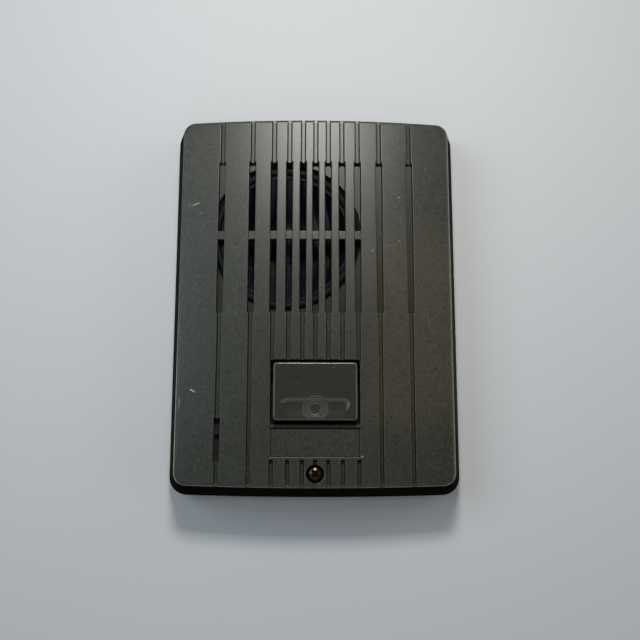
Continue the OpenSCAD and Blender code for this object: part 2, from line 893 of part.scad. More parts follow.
module speaker_frame() {
    tab_w = 7;
    tab_l = 6;
    window_in_r = basket_in_r + 2;
    window_l = basket_out_r - 2 - window_in_r;
    window_side = 12;
    hole_r = 10.5;
    lip_r = basket_out_r - 0.5;
    floor_r = basket_in_r - 0.6;
    color(steel_colour) upright() at_speaker() difference() {
        union() {
            rotate_extrude() polygon([
                [hole_r, basket_z], [basket_in_r, basket_z], [basket_out_r, flange_z - frame_t],
                [speaker_r, flange_z - frame_t], [speaker_r, flange_z], [lip_r, flange_z],
                [floor_r, basket_floor], [hole_r, basket_floor]
            ]);
            rotate(tag_angle) translate([tab_in_r, -tab_w / 2, tab_z]) cube([tab_l, tab_w, tab_t]);
        }
        for (a = [tag_angle + 45 : 90 : tag_angle + 315]) {
            rotate(a) translate([window_in_r, -window_side / 2, basket_floor - over]) {
                cube([window_l, window_side, window_side]);
            }
        }
        rotate_extrude() polygon([
            [0, flange_z + over], [lip_r, flange_z + over], [lip_r, flange_z], [floor_r, basket_floor],
            [0, basket_floor]
        ]);
    }
}

module speaker_terminals() {
    strip_w = 4.4;
    strip_l = 9;
    rivet_r = 0.9;
    color([0.5, 0.32, 0.14]) upright() at_speaker() rotate(tag_angle) translate([tag_r, 0, 0]) {
        translate([-0.6, 0, 0]) block(strip_w, strip_l, tab_z - tab_t, tab_z);
        for (s = [-1, 1]) {
            translate([0, s * tag_spread, 0]) rod(rivet_r, tag_back, tab_z - tab_t / 2);
        }
    }
}

module speaker_surround() {
    brim_in_r = cone_out_r - cone_brim + 0.4;
    color(cone_colour) upright() at_speaker() {
        ring(brim_in_r, roll_mid_r - roll_r + surround_t / 2, flange_z, flange_z + surround_t);
        ring(roll_mid_r + roll_r - surround_t / 2, surround_out_r, flange_z, flange_z + surround_t);
        translate([0, 0, flange_z]) rotate_extrude() translate([roll_mid_r, 0]) intersection() {
            difference() {
                circle(r = roll_r);
                circle(r = roll_r - surround_t);
            }
            translate([-2 * roll_r, 0]) square([4 * roll_r, 2 * roll_r]);
        }
    }
}

module speaker_cone() {
    neck_r = coil_r + pin_gap;
    color(cone_colour) upright() at_speaker() rotate_extrude() polygon([
        [neck_r, neck_z], [cone_out_r - cone_brim, cone_brim_z - cone_t], [cone_out_r, cone_brim_z - cone_t],
        [cone_out_r, cone_brim_z], [cone_out_r - cone_brim, cone_brim_z], [neck_r, neck_z + cone_t]
    ]);
}

module speaker_dust_cap() {
    cap_r = coil_r + 1;
    cap_h = 1.7;
    cap_t = 0.3;
    ball_r = (cap_r * cap_r + cap_h * cap_h) / (2 * cap_h);
    base_z = neck_z + cone_t + 0.45;
    color(cone_colour) upright() at_speaker() intersection() {
        translate([0, 0, base_z + cap_h - ball_r]) difference() {
            sphere(r = ball_r);
            sphere(r = ball_r - cap_t);
        }
        rod(cap_r + 0.5, base_z, base_z + cap_h + over);
    }
}

module voice_coil() {
    former_t = 0.2;
    coil_back = top_plate_z - cone_travel;
    color(copper_colour) upright() at_speaker() {
        ring(coil_r - former_t, coil_r, coil_back - 0.1, neck_z + cone_t);
        ring(coil_r - former_t / 2, coil_r + coil_wind_t, coil_back, basket_z + cone_travel);
    }
}

module speaker_damper() {
    rim_w = 1.4;
    in_r = coil_r + coil_wind_t + 0.1;
    out_r = basket_in_r - 1.2;
    waves = 3;
    wave_h = 0.25;
    sheet_t = 0.25;
    steps = 36;
    wavy = [
        for (i = [0 : steps])
            let (t = i / steps)
            [in_r + (out_r - rim_w - in_r) * t, basket_floor + wave_h * (1 - cos(360 * waves * t))]
    ];
    upper = [for (i = [steps : -1 : 0]) [wavy[i].x, wavy[i].y + sheet_t]];
    color([0.62, 0.5, 0.3]) upright() at_speaker() rotate_extrude() polygon(concat(
        wavy, [[out_r, basket_floor], [out_r, basket_floor + sheet_t]], upper
    ));
}

module speaker_top_plate() {
    color(steel_colour) upright() at_speaker() {
        ring(coil_r + coil_wind_t + coil_gap, top_plate_r, top_plate_z, basket_z);
    }
}

module speaker_magnet() {
    color(ferrite_colour) upright() at_speaker() ring(magnet_in_r, magnet_r, magnet_z, top_plate_z);
}

module speaker_yoke() {
    color(steel_colour) upright() at_speaker() {
        rod(yoke_r, yoke_back, magnet_z);
        rod(pole_r, magnet_z - yoke_t / 2, basket_z);
    }
}

module speaker_clamps() {
    clamp_l = 9;
    clamp_w = 6.5;
    clamp_r = 1.5;
    color(steel_colour) upright() intersection() {
        at_clamps() difference() {
            translate([-1, 0, 0]) rounded_plate(clamp_l, clamp_w, clamp_r, clamp_back, clamp_back + clamp_t);
            rod(self_tap_r + seat_gap, 0, front_in);
        }
        cover_hollow(fit_gap);
    }
}

module clamp_screws() {
    color(steel_colour) upright() at_clamps() translate([0, 0, clamp_back]) {
        rear_screw(small_head_r, small_head_h, self_tap_r, clamp_screw_end - clamp_back);
    }
}

// Microphone

module microphone_boot() {
    sound_hole_r = 0.9;
    color(rubber_colour) upright() translate([mic_x, mic_y, 0]) difference() {
        rod(mic_boot_r, mic_back - 0.8, front_in - seat_gap / 2);
        rod(mic_r + pin_gap, mic_back - 2, mic_back + mic_h + pin_gap);
        rod(sound_hole_r, 0, front_in + over);
    }
}

module microphone_capsule() {
    color([0.66, 0.66, 0.64]) upright() translate([mic_x, mic_y, 0]) {
        rod(mic_r, mic_back, mic_back + mic_h);
        rod(mic_r - 0.8, mic_back - 0.3, mic_back + 0.2);
    }
}

// Hand-placed routes of the inner leads, on the board's front side
mic_lead_r = 0.5;
speaker_lead_r = 0.6;
speaker_tag = [
    for (s = [-1, 1])
        [
            speaker_x + tag_r * cos(tag_angle) - s * tag_spread * sin(tag_angle),
            speaker_y + tag_r * sin(tag_angle) + s * tag_spread * cos(tag_angle),
            tag_back
        ]
];

module microphone_leads() {
    color([0.75, 0.12, 0.1]) upright() for (s = [-1, 1]) {
        start = [mic_x + 1.4 * s, mic_y, mic_back - 0.3];
        foot = [mic_x + 1.4 * s, mic_y + 7, board_top];
        wire([
            start, start + [0, 0, -0.6], start + [0, 0.5, -1.1], foot + [0, -0.9, 1.3],
            foot + [0, 0, 0.8], foot
        ], mic_lead_r, 8, [1, 0, 0]);
    }
}

module speaker_leads() {
    plug_top = board_top + 3;
    color([0.12, 0.12, 0.5]) upright() for (i = [0, 1]) {
        tag = speaker_tag[i];
        hole = [connector_x + (i == 0 ? -1.25 : 1.25), connector_y, plug_top];
        wire([
            tag, tag + [0, 0, -0.8], tag + [0.5, -0.6, -1.6], [15 + 2.5 * i, -2 + 1.5 * i, board_top + 2.2],
            [20 + 2.5 * i, board_y_top + 2.4 + 0.8 * i, board_top + 5.5], hole + [-1, 1.2, 5],
            hole + [0, 0, 4], hole + [0, 0, 3], hole
        ], speaker_lead_r, 8, [0.7, 0.7, 0]);
    }
}

// Back of the unit

module bracket_slots(r, l, z0, z1) {
    for (s = [-1, 1]) {
        translate([0, s * wall_screw_pitch / 2, z0]) linear_extrude(z1 - z0) slot_outline(r, l);
    }
}

module wire_room(wall, y0, z0) {
    room_w = bay_w + 2 * wall;
    translate([-room_w / 2, y0, z0]) cube([room_w, wire_room_top + wall - y0, wire_room_in + wall - z0]);
}

module rear_case() {
    tongue_w = cavity_w - 2 * fit_gap;
    tongue_l = cavity_h - 2 * fit_gap;
    tongue_r = cavity_r - fit_gap;
    inner_w = tongue_w - 2 * tongue_t;
    inner_l = tongue_l - 2 * tongue_t;
    recess_corner_r = skirt_r - skirt_t;
    groove_out_w = skirt_w - 2 * gasket_inset;
    groove_out_h = skirt_h - 2 * gasket_inset;
    groove_out_r = skirt_r - gasket_inset;
    groove_in_w = groove_out_w - 2 * gasket_w;
    groove_in_h = groove_out_h - 2 * gasket_w;
    well_l = wall_slot_l + 2 * (well_r - wall_slot_r);
    nut_well_w = nut_w + 2 * fit_gap;
    hook_slot_y = hook_y + bracket_t + seat_gap / 2 - hook_reach;
    color(rear_colour) upright() difference() {
        union() {
            difference() {
                union() {
                    rounded_plate(skirt_w, skirt_h, skirt_r, 0, rim_z);
                    rounded_plate(tongue_w, tongue_l, tongue_r, rim_z - over, rim_z + tongue_h);
                }
                rounded_plate(inner_w, inner_l, tongue_r - tongue_t, back_in, case_d);
            }
            bracket_slots(well_r + well_roof, well_l + 2 * well_roof, back_in - over, well_top + well_roof);
            translate([0, screw_y, 0]) block(nut_w + 3, nut_w + 1.4, back_in - over, tube_end);
            wire_room(wire_room_wall, bay_top, back_in - over);
        }
        rounded_plate(skirt_w - 2 * skirt_t, skirt_h - 2 * skirt_t, recess_corner_r, -over, back_recess);
        difference() {
            rounded_plate(groove_out_w, groove_out_h, groove_out_r, rim_z - gasket_t, rim_z + over / 2);
            rounded_plate(groove_in_w, groove_in_h, groove_out_r - gasket_w, 0, rim_z + over);
        }
        bracket_slots(well_r, well_l, 0, well_top);
        translate([0, screw_y, 0]) {
            block(nut_well_w, nut_well_w, 0, nut_well_top);
            rod(screw_r + seat_gap, 0, tube_end + over);
            rod(screw_tube_r + fit_gap, tube_end, case_d);
        }
        translate([0, block_y, 0]) block(bay_w, bay_h, 0, back_in + over);
        wire_room(0, bay_top - over, 0);
        for (s = [-1, 1]) {
            translate([s * hook_x, hook_slot_y, 0]) block(hook_w + 2, 2 * hook_reach, 0, back_in + over);
        }
        at_case_screws() rod(case_screw_r + seat_gap, 0, back_in + over);
    }
}

module case_gasket() {
    side_gap = 0.05;
    w = skirt_w - 2 * (gasket_inset + side_gap);
    h = skirt_h - 2 * (gasket_inset + side_gap);
    r = skirt_r - gasket_inset - side_gap;
    band = gasket_w - 2 * side_gap;
    color(rubber_colour) upright() difference() {
        rounded_plate(w, h, r, rim_z - gasket_t, rim_z);
        rounded_plate(w - 2 * band, h - 2 * band, r - band, 0, rim_z + over);
    }
}

module case_screws() {
    color(steel_colour) upright() at_case_screws() translate([0, 0, back_recess]) {
        rear_screw(case_head_r, case_head_h, case_screw_r, case_screw_l);
    }
}

module wall_bracket() {
    color(steel_colour) upright() difference() {
        union() {
            rounded_plate(bracket_w, bracket_h, bracket_r, 0, bracket_t);
            for (s = [-1, 1]) {
                translate([s * hook_x - hook_w / 2, hook_y, 0]) {
                    cube([hook_w, bracket_t, back_in + seat_gap + bracket_t]);
                    translate([0, 0, back_in + seat_gap]) cube([hook_w, bracket_t + hook_reach, bracket_t]);
                }
            }
        }
        rounded_plate(window_w, window_h, bracket_r, -over, bracket_t + over);
        bracket_slots(wall_slot_r, wall_slot_l, -over, bracket_t + over);
        translate([0, screw_y, 0]) rod(screw_r + seat_gap, -over, bracket_t + over);
        at_case_screws() rod(case_head_r + fit_gap, -over, bracket_t + over);
    }
}

module bracket_nut() {
    color(steel_colour) upright() translate([0, screw_y, 0]) difference() {
        block(nut_w, nut_w, bracket_t, bracket_t + nut_t);
        rod(screw_r, 0, bracket_t + nut_t + over);
    }
}

front_cover();
cover_screw();
call_button();
button_pin();
button_spring();
button_seal();
switch_body();
switch_plunger();
circuit_board();
board_screws();
speaker_gasket();
speaker_frame();
speaker_surround();
speaker_cone();
speaker_dust_cap();
voice_coil();
speaker_damper();
speaker_top_plate();
speaker_magnet();
speaker_yoke();
speaker_terminals();
speaker_clamps();
clamp_screws();
microphone_capsule();
microphone_boot();
microphone_leads();
speaker_leads();
lead_connector();
terminal_block();
terminal_plates();
terminal_screws();
transformer_core();
transformer_winding();
amplifier_chip();
electrolytic_capacitors();
film_capacitors();
resistors();
bridge_rectifier();
rear_case();
case_gasket();
case_screws();
wall_bracket();
bracket_nut();
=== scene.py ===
"""Looks for a surface-mounted door station, built round its packed parts.

The front is drawn face up in millimetres: x across, y up the face, z out from the wall.
stand() then turns it upright into the shared frame, in metres, with the front looking along -Y.
"""

import json
import math

import bmesh
import bpy
import numpy as np
from bpy.props import FloatProperty, FloatVectorProperty, PointerProperty
from mathutils import Matrix, Vector


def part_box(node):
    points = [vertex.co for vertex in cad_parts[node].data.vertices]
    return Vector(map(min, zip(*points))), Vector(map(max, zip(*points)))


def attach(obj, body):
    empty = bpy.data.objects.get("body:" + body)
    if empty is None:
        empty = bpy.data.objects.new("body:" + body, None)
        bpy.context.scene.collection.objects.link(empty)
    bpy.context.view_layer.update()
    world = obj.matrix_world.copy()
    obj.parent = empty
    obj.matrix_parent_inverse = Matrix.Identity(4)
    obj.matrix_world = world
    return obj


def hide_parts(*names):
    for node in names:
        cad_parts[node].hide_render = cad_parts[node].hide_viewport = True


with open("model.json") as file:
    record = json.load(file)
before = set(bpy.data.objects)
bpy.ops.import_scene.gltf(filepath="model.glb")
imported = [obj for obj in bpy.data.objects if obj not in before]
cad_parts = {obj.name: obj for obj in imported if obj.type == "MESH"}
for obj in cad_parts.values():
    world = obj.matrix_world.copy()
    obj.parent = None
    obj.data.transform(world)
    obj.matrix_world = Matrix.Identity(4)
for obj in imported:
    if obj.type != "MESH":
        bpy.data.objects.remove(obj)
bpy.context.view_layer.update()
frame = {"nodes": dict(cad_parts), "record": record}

bl_info = {
    "name": "Door station",
    "version": (1, 0, 0),
    "blender": (4, 5, 0),
    "location": "3D View > Sidebar > Door station",
    "description": "Builds the cover, button, speaker, finishes and stage of a door station",
    "category": "Object",
}

MM = 0.001
COVER_LOW, COVER_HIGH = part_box("front_cover")
BUTTON_LOW, BUTTON_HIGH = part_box("call_button")


# Settings


def length(name, about, metres):
    return FloatProperty(name=name, description=about, default=metres, unit="LENGTH", precision=5)


def colour(name, about, red, green, blue):
    return FloatVectorProperty(
        name=name, description=about, subtype="COLOR_GAMMA", size=3, min=0, max=1,
        default=(red / 255, green / 255, blue / 255),
    )


def power(name, about, watts):
    return FloatProperty(name=name, description=about, default=watts, unit="POWER")


class CoverSettings(bpy.types.PropertyGroup):
    """Sizes and colours of the moulded cover"""

    width: length("Width", "Width of the cover at its rim", COVER_HIGH.x - COVER_LOW.x)
    height: length("Height", "Height of the cover at its rim", COVER_HIGH.z - COVER_LOW.z)
    depth: length("Depth", "Distance from the wall to the middle of the front", -COVER_LOW.y)
    rim: length("Rim", "Distance from the wall to the cover's rim", 0.0045)
    crown: length("Crown radius", "Radius of the front's bow across the width", 0.53)
    bow: length("Edge bow", "How far the top and bottom edges bow out in the middle", 0.001)
    groove: length("Groove width", "Width of a groove", 0.00145)
    groove_depth: length("Groove depth", "Depth of a groove", 0.0009)
    slot: length("Slot width", "Width of a grille slot", 0.00225)
    plastic: colour("Plastic", "Colour of the textured plastic", 51, 53, 44)
    # Colour of a painted warm light on the right of the front
    painted_warm_light: colour("Browned plastic", "Colour of the side that the sun has browned", 80, 70, 57)
    worn: colour("Worn plastic", "Colour of rubbed edges and scratches", 128, 126, 114)


class ButtonSettings(bpy.types.PropertyGroup):
    """Sizes and colours of the call button"""

    width: length("Width", "Width of the button", BUTTON_HIGH.x - BUTTON_LOW.x)
    height: length("Height", "Height of the button", BUTTON_HIGH.z - BUTTON_LOW.z)
    scoop_width: length("Scoop width", "Width of the finger scoop", 0.023)
    scoop_height: length("Scoop height", "Height of the finger scoop", 0.007)
    scoop_depth: length("Scoop depth", "Depth of the finger scoop", 0.0006)
    plastic: colour("Plastic", "Colour of the smoked plastic", 53, 53, 45)


class SpeakerSettings(bpy.types.PropertyGroup):
    """Place and colours of the loudspeaker behind the grille"""

    across: length("Across", "Middle of the speaker, sideways", -0.0102)
    up: length("Up", "Middle of the speaker, upwards", 0.0214)
    opening: length("Opening radius", "Radius of the opening behind the grille", 0.0259)
    film: colour("Film", "Colour of the cone's glossy film", 7, 10, 19)


class ScrewSettings(bpy.types.PropertyGroup):
    """Sizes and colours of the cover screw"""

    head: length("Head radius", "Radius of the screw's head", 0.0023)
    turn: FloatProperty(
        name="Turn", description="How far the cross is turned",
        default=math.radians(35), subtype="ANGLE",
    )
    bronze: colour("Bronze", "Colour of the bronzed head", 66, 52, 36)


class StageSettings(bpy.types.PropertyGroup):
    """Wall, lamps and camera"""

    wall: colour("Wall", "Colour of the wall behind the unit", 226, 227, 228)
    key: power("Key lamp", "Power of the soft lamp above", 0.62)
    fill: power("Fill lamp", "Power of the soft lamp in front", 0.7)
    side: power("Side lamp", "Power of the wide lamp on the right", 1.2)
    back: power("Back lamps", "Power of the lamps behind the wall", 2.6)
    lens: FloatProperty(
        name="Lens", description="Focal length on a 36 mm sensor", default=45, unit="CAMERA"
    )


def mm(metres):
    return metres / MM


# Shader trees


def linear(srgb):
    """Shader colour of a colour as it is seen on a screen."""
    parts = (c / 12.92 if c <= 0.04045 else ((c + 0.055) / 1.055) ** 2.4 for c in srgb)
    return *parts, 1.0


def shade(srgb, by):
    """The same colour, lighter or darker."""
    return tuple(min(1.0, c * by) for c in srgb)


# A stroke on the front reaches this far through the piece, in millimetres
THROUGH = 1000


class Value:
    """A socket in a shader tree; sums, differences and products of it add Math nodes."""

    def __init__(self, tree, socket):
        self.tree = tree
        self.socket = socket

    def maths(self, kind, first, second):
        return self.tree.node("ShaderNodeMath", {"operation": kind}, {0: first, 1: second})

    def __add__(self, other):
        return self.maths("ADD", self, other)

    def __radd__(self, other):
        return self.maths("ADD", other, self)

    def __sub__(self, other):
        return self.maths("SUBTRACT", self, other)

    def __rsub__(self, other):
        return self.maths("SUBTRACT", other, self)

    def __mul__(self, other):
        return self.maths("MULTIPLY", self, other)

    def __rmul__(self, other):
        return self.maths("MULTIPLY", other, self)

    def over(self, other):
        """The larger of two values."""
        return self.maths("MAXIMUM", self, other)


class Finish:
    """A material and the nodes that make it."""

    def __init__(self, name):
        self.material = bpy.data.materials.new(name)
        self.material.use_nodes = True
        self.material.node_tree.nodes.clear()
        self.nodes = self.material.node_tree
        self.spot = None

    def node(self, kind, settings=None, inputs=None, output=0):
        """Adds a node, with its settings first and then the values or links of its sockets."""
        made = self.nodes.nodes.new(kind)
        for name, value in (settings or {}).items():
            setattr(made, name, value)
        for name, value in (inputs or {}).items():
            if isinstance(value, Value):
                self.nodes.links.new(value.socket, made.inputs[name])
            else:
                made.inputs[name].default_value = value
        return Value(self, made.outputs[output]) if made.outputs else None

    def place(self):
        """Where a point lies on the piece, in millimetres of the shared frame."""
        if self.spot is None:
            own = self.node("ShaderNodeTexCoord", output="Object")
            self.spot = self.node(
                "ShaderNodeVectorMath", {"operation": "SCALE"}, {0: own, "Scale": 1 / MM}
            )
        return self.spot

    def part(self, axis):
        """One coordinate of the place, in millimetres."""
        return self.node("ShaderNodeSeparateXYZ", {}, {0: self.place()}, output=axis)

    def stretched(self, across, along, up):
        """The same place, squeezed along the axes, for grain that runs one way."""
        squeeze = {0: self.place(), 1: (across, along, up)}
        return self.node("ShaderNodeVectorMath", {"operation": "MULTIPLY"}, squeeze)

    def noise(self, size, detail=2.0, rough=0.5, at=None):
        """Cloudy noise whose lumps are about size millimetres across, from 0 to 1."""
        return self.node(
            "ShaderNodeTexNoise", {"noise_dimensions": "3D"},
            {"Vector": at or self.place(), "Scale": 1 / size, "Detail": detail, "Roughness": rough},
        )

    def cells(self, size):
        """Distance from the nearest of scattered points about size millimetres apart."""
        return self.node(
            "ShaderNodeTexVoronoi", {"feature": "F1"},
            {"Vector": self.place(), "Scale": 1 / size},
        )

    def waves(self, way, scale, bend):
        """Even bands along one axis, a little bent, from 0 to 1."""
        return self.node(
            "ShaderNodeTexWave",
            {"wave_type": "BANDS", "bands_direction": way, "wave_profile": "SIN"},
            {"Vector": self.place(), "Scale": scale, "Distortion": bend, "Detail": 1.0},
            output="Fac",
        )

    def mark(self, name):
        """A value that the mesh carries at each point."""
        return self.node("ShaderNodeAttribute", {"attribute_name": name}, output="Fac")

    def step(self, value, low, high):
        """0 below low, 1 above high and smooth between; turned round where low is above high."""
        return self.node(
            "ShaderNodeMapRange", {"interpolation_type": "SMOOTHSTEP", "clamp": True},
            {"Value": value, "From Min": low, "From Max": high, "To Min": 0.0, "To Max": 1.0},
        )

    def mix(self, share, first, second):
        return self.node(
            "ShaderNodeMix", {"data_type": "RGBA"}, {0: share, 6: first, 7: second}, output=2
        )

    def tones(self, share, srgb, low, high):
        """One colour, from low to high times as light as share goes from 0 to 1."""
        return self.mix(share, linear(shade(srgb, low)), linear(shade(srgb, high)))

    def tint(self, base, share, srgb, by=1.0):
        """Base with a share of another colour over it."""
        return self.mix(share, base, linear(shade(srgb, by)))

    def bump(self, height, depth, under=None):
        """Normal of a surface whose height runs over depth millimetres."""
        inputs = {"Height": height, "Distance": depth * MM, "Strength": 1.0}
        if under is not None:
            inputs["Normal"] = under
        return self.node("ShaderNodeBump", {}, inputs)

    def scratch(self, at, turn, long, wide):
        """A soft-ended stroke on the front: 1 along its middle, 0 outside it."""
        local = self.node(
            "ShaderNodeMapping", {"vector_type": "TEXTURE"},
            {
                "Vector": self.place(), "Location": (at[0], 0, at[1]),
                "Rotation": (0, -math.radians(turn), 0), "Scale": (long / 2, THROUGH, wide / 2),
            },
        )
        reach = self.node(
            "ShaderNodeVectorMath", {"operation": "LENGTH"}, {0: local}, output="Value"
        )
        return self.step(reach, 1.0, 0.35)

    def scratches(self, strokes):
        """The strongest of some strokes, each with its strength last."""
        strongest = None
        for *stroke, strength in strokes:
            shown = self.scratch(*stroke) * strength
            strongest = shown if strongest is None else strongest.over(shown)
        return strongest

    def done(self, dull=None, **inputs):
        """Ends the material; where dull is 1, the surface has lost its sheen."""
        sockets = {name.replace("_", " "): value for name, value in inputs.items()}
        shader = self.node("ShaderNodeBsdfPrincipled", {}, sockets)
        if dull is not None:
            matt = self.node(
                "ShaderNodeBsdfDiffuse", {},
                {"Color": sockets["Base Color"], "Normal": sockets["Normal"]},
            )
            shader = self.node("ShaderNodeMixShader", {}, {0: dull, 1: shader, 2: matt})
        self.node("ShaderNodeOutputMaterial", {}, {"Surface": shader})
        return self.material


def moulded(name, srgb, rough, grain, depth, tone=0.12):
    """Moulded plastic: faint flow marks, a fine texture and a little dust."""
    f = Finish(name)
    flow = f.noise(14, 3)
    fine = f.noise(grain, 2)
    dust = f.step(f.noise(1.6, 4, 0.7), 0.6, 0.8)
    base = f.tones(flow, srgb, 1 - tone, 1 + tone)
    base = f.tint(base, dust * 0.12, (0.55, 0.54, 0.5))
    return f.done(
        Base_Color=base, Roughness=rough - 0.08 + 0.16 * fine, Normal=f.bump(fine, depth)
    )


def soft_rubber(name, srgb):
    """Black rubber with a bloom of grey in patches."""
    f = Finish(name)
    bloom = f.step(f.noise(5, 4, 0.65), 0.45, 0.75)
    fine = f.noise(0.25, 2)
    base = f.tones(bloom * 0.5, srgb, 1, 1.7)
    return f.done(Base_Color=base, Roughness=0.7 + 0.12 * bloom, Normal=f.bump(fine, 0.008))


def closed_foam(name, srgb):
    """Foam with its cut cells showing."""
    f = Finish(name)
    cell = f.cells(0.35)
    base = f.tones(f.step(cell, 0.1, 0.6), srgb, 0.55, 1.15)
    return f.done(Base_Color=base, Roughness=0.9, Normal=f.bump(cell, 0.1))


def plated(name, srgb, rough=0.32, brush=(1.0, 1.0, 12.0), tarnish=0.25):
    """Plated or bare metal with a rolled grain and a dull bloom."""
    f = Finish(name)
    grain = f.noise(1.2, 3, 0.6, f.stretched(*brush))
    bloom = f.step(f.noise(6, 4, 0.6), 0.4, 0.75)
    speck = f.step(f.noise(0.8, 3, 0.7), 0.62, 0.74)
    base = f.tones(bloom * tarnish, srgb, 1, 0.62)
    base = f.tint(base, speck * 0.3, srgb, 0.4)
    return f.done(
        Base_Color=base, Metallic=1.0, Roughness=rough + 0.14 * grain + 0.16 * bloom,
        Normal=f.bump(grain, 0.01),
    )


def felted_can(name, srgb):
    """Plain can with a black felt on its front."""
    f = Finish(name)
    felt = f.step(f.part("Y"), -16.6, -16.75)
    grain = f.noise(1.2, 3, 0.6, f.stretched(8.0, 1.0, 1.0))
    base = f.tint(f.tones(grain, srgb, 0.85, 1), felt, (0.03, 0.03, 0.03))
    return f.done(
        Base_Color=base, Metallic=1 - felt, Roughness=0.35 + 0.14 * grain + 0.5 * felt,
        Normal=f.bump(grain, 0.01),
    )


def wound(name, srgb, pitch):
    """Enamelled wire laid in close turns."""
    f = Finish(name)
    turns = f.waves("Y", 0.314 / pitch, 0.6)
    age = f.noise(4, 3)
    base = f.tint(f.tones(turns, srgb, 0.45, 1), age * 0.4, srgb, 0.6)
    return f.done(
        Base_Color=base, Metallic=0.85, Roughness=0.3 + 0.15 * age, Coat_Weight=0.5,
        Normal=f.bump(turns, 0.05),
    )


def pressed_cloth(name, srgb):
    """Stiffened cloth with a plain weave."""
    f = Finish(name)
    threads = f.waves("X", 0.8, 0.4) * f.waves("Z", 0.8, 0.4)
    base = f.tint(f.tones(threads, srgb, 0.6, 1), f.noise(6, 3) * 0.4, srgb, 0.75)
    return f.done(Base_Color=base, Roughness=0.85, Normal=f.bump(threads, 0.06))


def sintered(name, srgb):
    """Ferrite: a dark ceramic with pits and grinding marks."""
    f = Finish(name)
    pits = f.step(f.noise(0.5, 3, 0.7), 0.3, 0.42)
    ground = f.noise(0.6, 2, 0.5, f.stretched(0.15, 1.0, 1.0))
    return f.done(
        Base_Color=f.tones(ground, srgb, 0.75, 1.25), Metallic=0.25, Roughness=0.5 + 0.2 * ground,
        Normal=f.bump(pits + 0.3 * ground, 0.03),
    )


def laminate(name, srgb):
    """Brown paper laminate with its fibres and a worn varnish."""
    f = Finish(name)
    fibre = f.noise(0.7, 4, 0.65, f.stretched(0.12, 1.0, 1.0))
    cloud = f.noise(9, 3)
    base = f.tint(f.tones(fibre, srgb, 0.7, 1.15), cloud * 0.35, srgb, 0.6)
    return f.done(Base_Color=base, Roughness=0.35 + 0.2 * cloud, Normal=f.bump(fibre, 0.006))


def dipped(name, srgb, rough, lumps):
    """Lacquer or a shrunk sleeve: glossy, uneven, with a dusty bloom."""
    f = Finish(name)
    sag = f.noise(2.2, 2)
    bloom = f.step(f.noise(1.4, 4, 0.7), 0.5, 0.8)
    base = f.tint(f.tones(sag, srgb, 0.8, 1.15), bloom * 0.12, (0.6, 0.58, 0.55))
    return f.done(
        Base_Color=base, Roughness=rough + 0.2 * bloom, Coat_Weight=0.3, Coat_Roughness=0.15,
        Normal=f.bump(sag, lumps),
    )


def cover_plastic(settings):
    """Textured olive-brown plastic: mottled, dusty, rubbed along its edges and scratched; with a
    painted warm light on the right, a painted highlight on the sill's ends, and painted shade in
    the grooves, slots, openings, crease and screw bore, on the sides and underneath.
    """
    f = Finish("cover_plastic")
    plastic = settings.plastic
    cloud = f.noise(26, 3, 0.55)
    mottle = f.noise(3.2, 4, 0.6)
    fine = f.noise(0.42, 2, 0.6)
    grit = f.noise(0.16, 2, 0.6)
    grain = f.noise(0.95, 3, 0.75)
    base = f.tones(cloud, plastic, 0.9, 1.09)
    # Painted warm light: a lighter, warmer patch on the right of the front's middle
    up = f.part("Z") + 20 * cloud
    warm_light_patch = f.step(f.part("X") + 30 * cloud, 8, 50) * f.step(up, -42, -22) * f.step(up, 44, 22)
    base = f.tint(base, warm_light_patch * 0.8, settings.painted_warm_light)
    base = f.tint(base, f.step(mottle, 0.35, 0.75) * 0.35, plastic, 1.16)
    base = f.tint(base, f.step(grain, 0.5, 0.68) * 0.6, plastic, 1.4)
    base = f.tint(base, f.step(grain, 0.5, 0.32) * 0.6, plastic, 0.62)
    patchy = f.step(f.noise(2.4, 4, 0.7), 0.38, 0.66)
    # Lighter rubbed edges; on the sill's ends this is a painted highlight
    rub = f.mark("edge") * (0.16 + 0.34 * patchy)
    base = f.tint(base, rub, settings.worn)
    # Painted shade: darker in the grooves, on the slots' walls and floor, round the openings, along
    # the panel's edge, in the crease and down the screw's bore
    groove = f.mark("groove")
    base = f.tint(base, groove * 0.8, plastic, 0.3)
    # Painted shade: darker on the sides, and darker still underneath
    side = f.mark("side")
    base = f.tint(base, side * 0.3, plastic, 0.6)
    underside = side * f.step(f.part("Z"), -56, -63)
    base = f.tint(base, underside * 0.7, plastic, 0.35)
    strokes = f.scratches(SCRATCHES) * f.step(grain, 0.25, 0.5)
    base = f.tint(base, strokes, settings.worn, 1.5)
    dust = f.step(f.noise(0.55, 2, 0.5), 0.7, 0.78) * f.step(f.noise(11, 2), 0.4, 0.65)
    base = f.tint(base, dust * 0.35, (0.5, 0.5, 0.47))
    texture = f.bump(grit + 0.6 * fine + 1.2 * grain, 0.009)
    return f.done(
        dull=side.over(groove * 0.7),
        Base_Color=base,
        Roughness=0.27 + 0.1 * grain + 0.04 * cloud - 0.05 * rub,
        Normal=f.bump(mottle, 0.01, texture),
    )


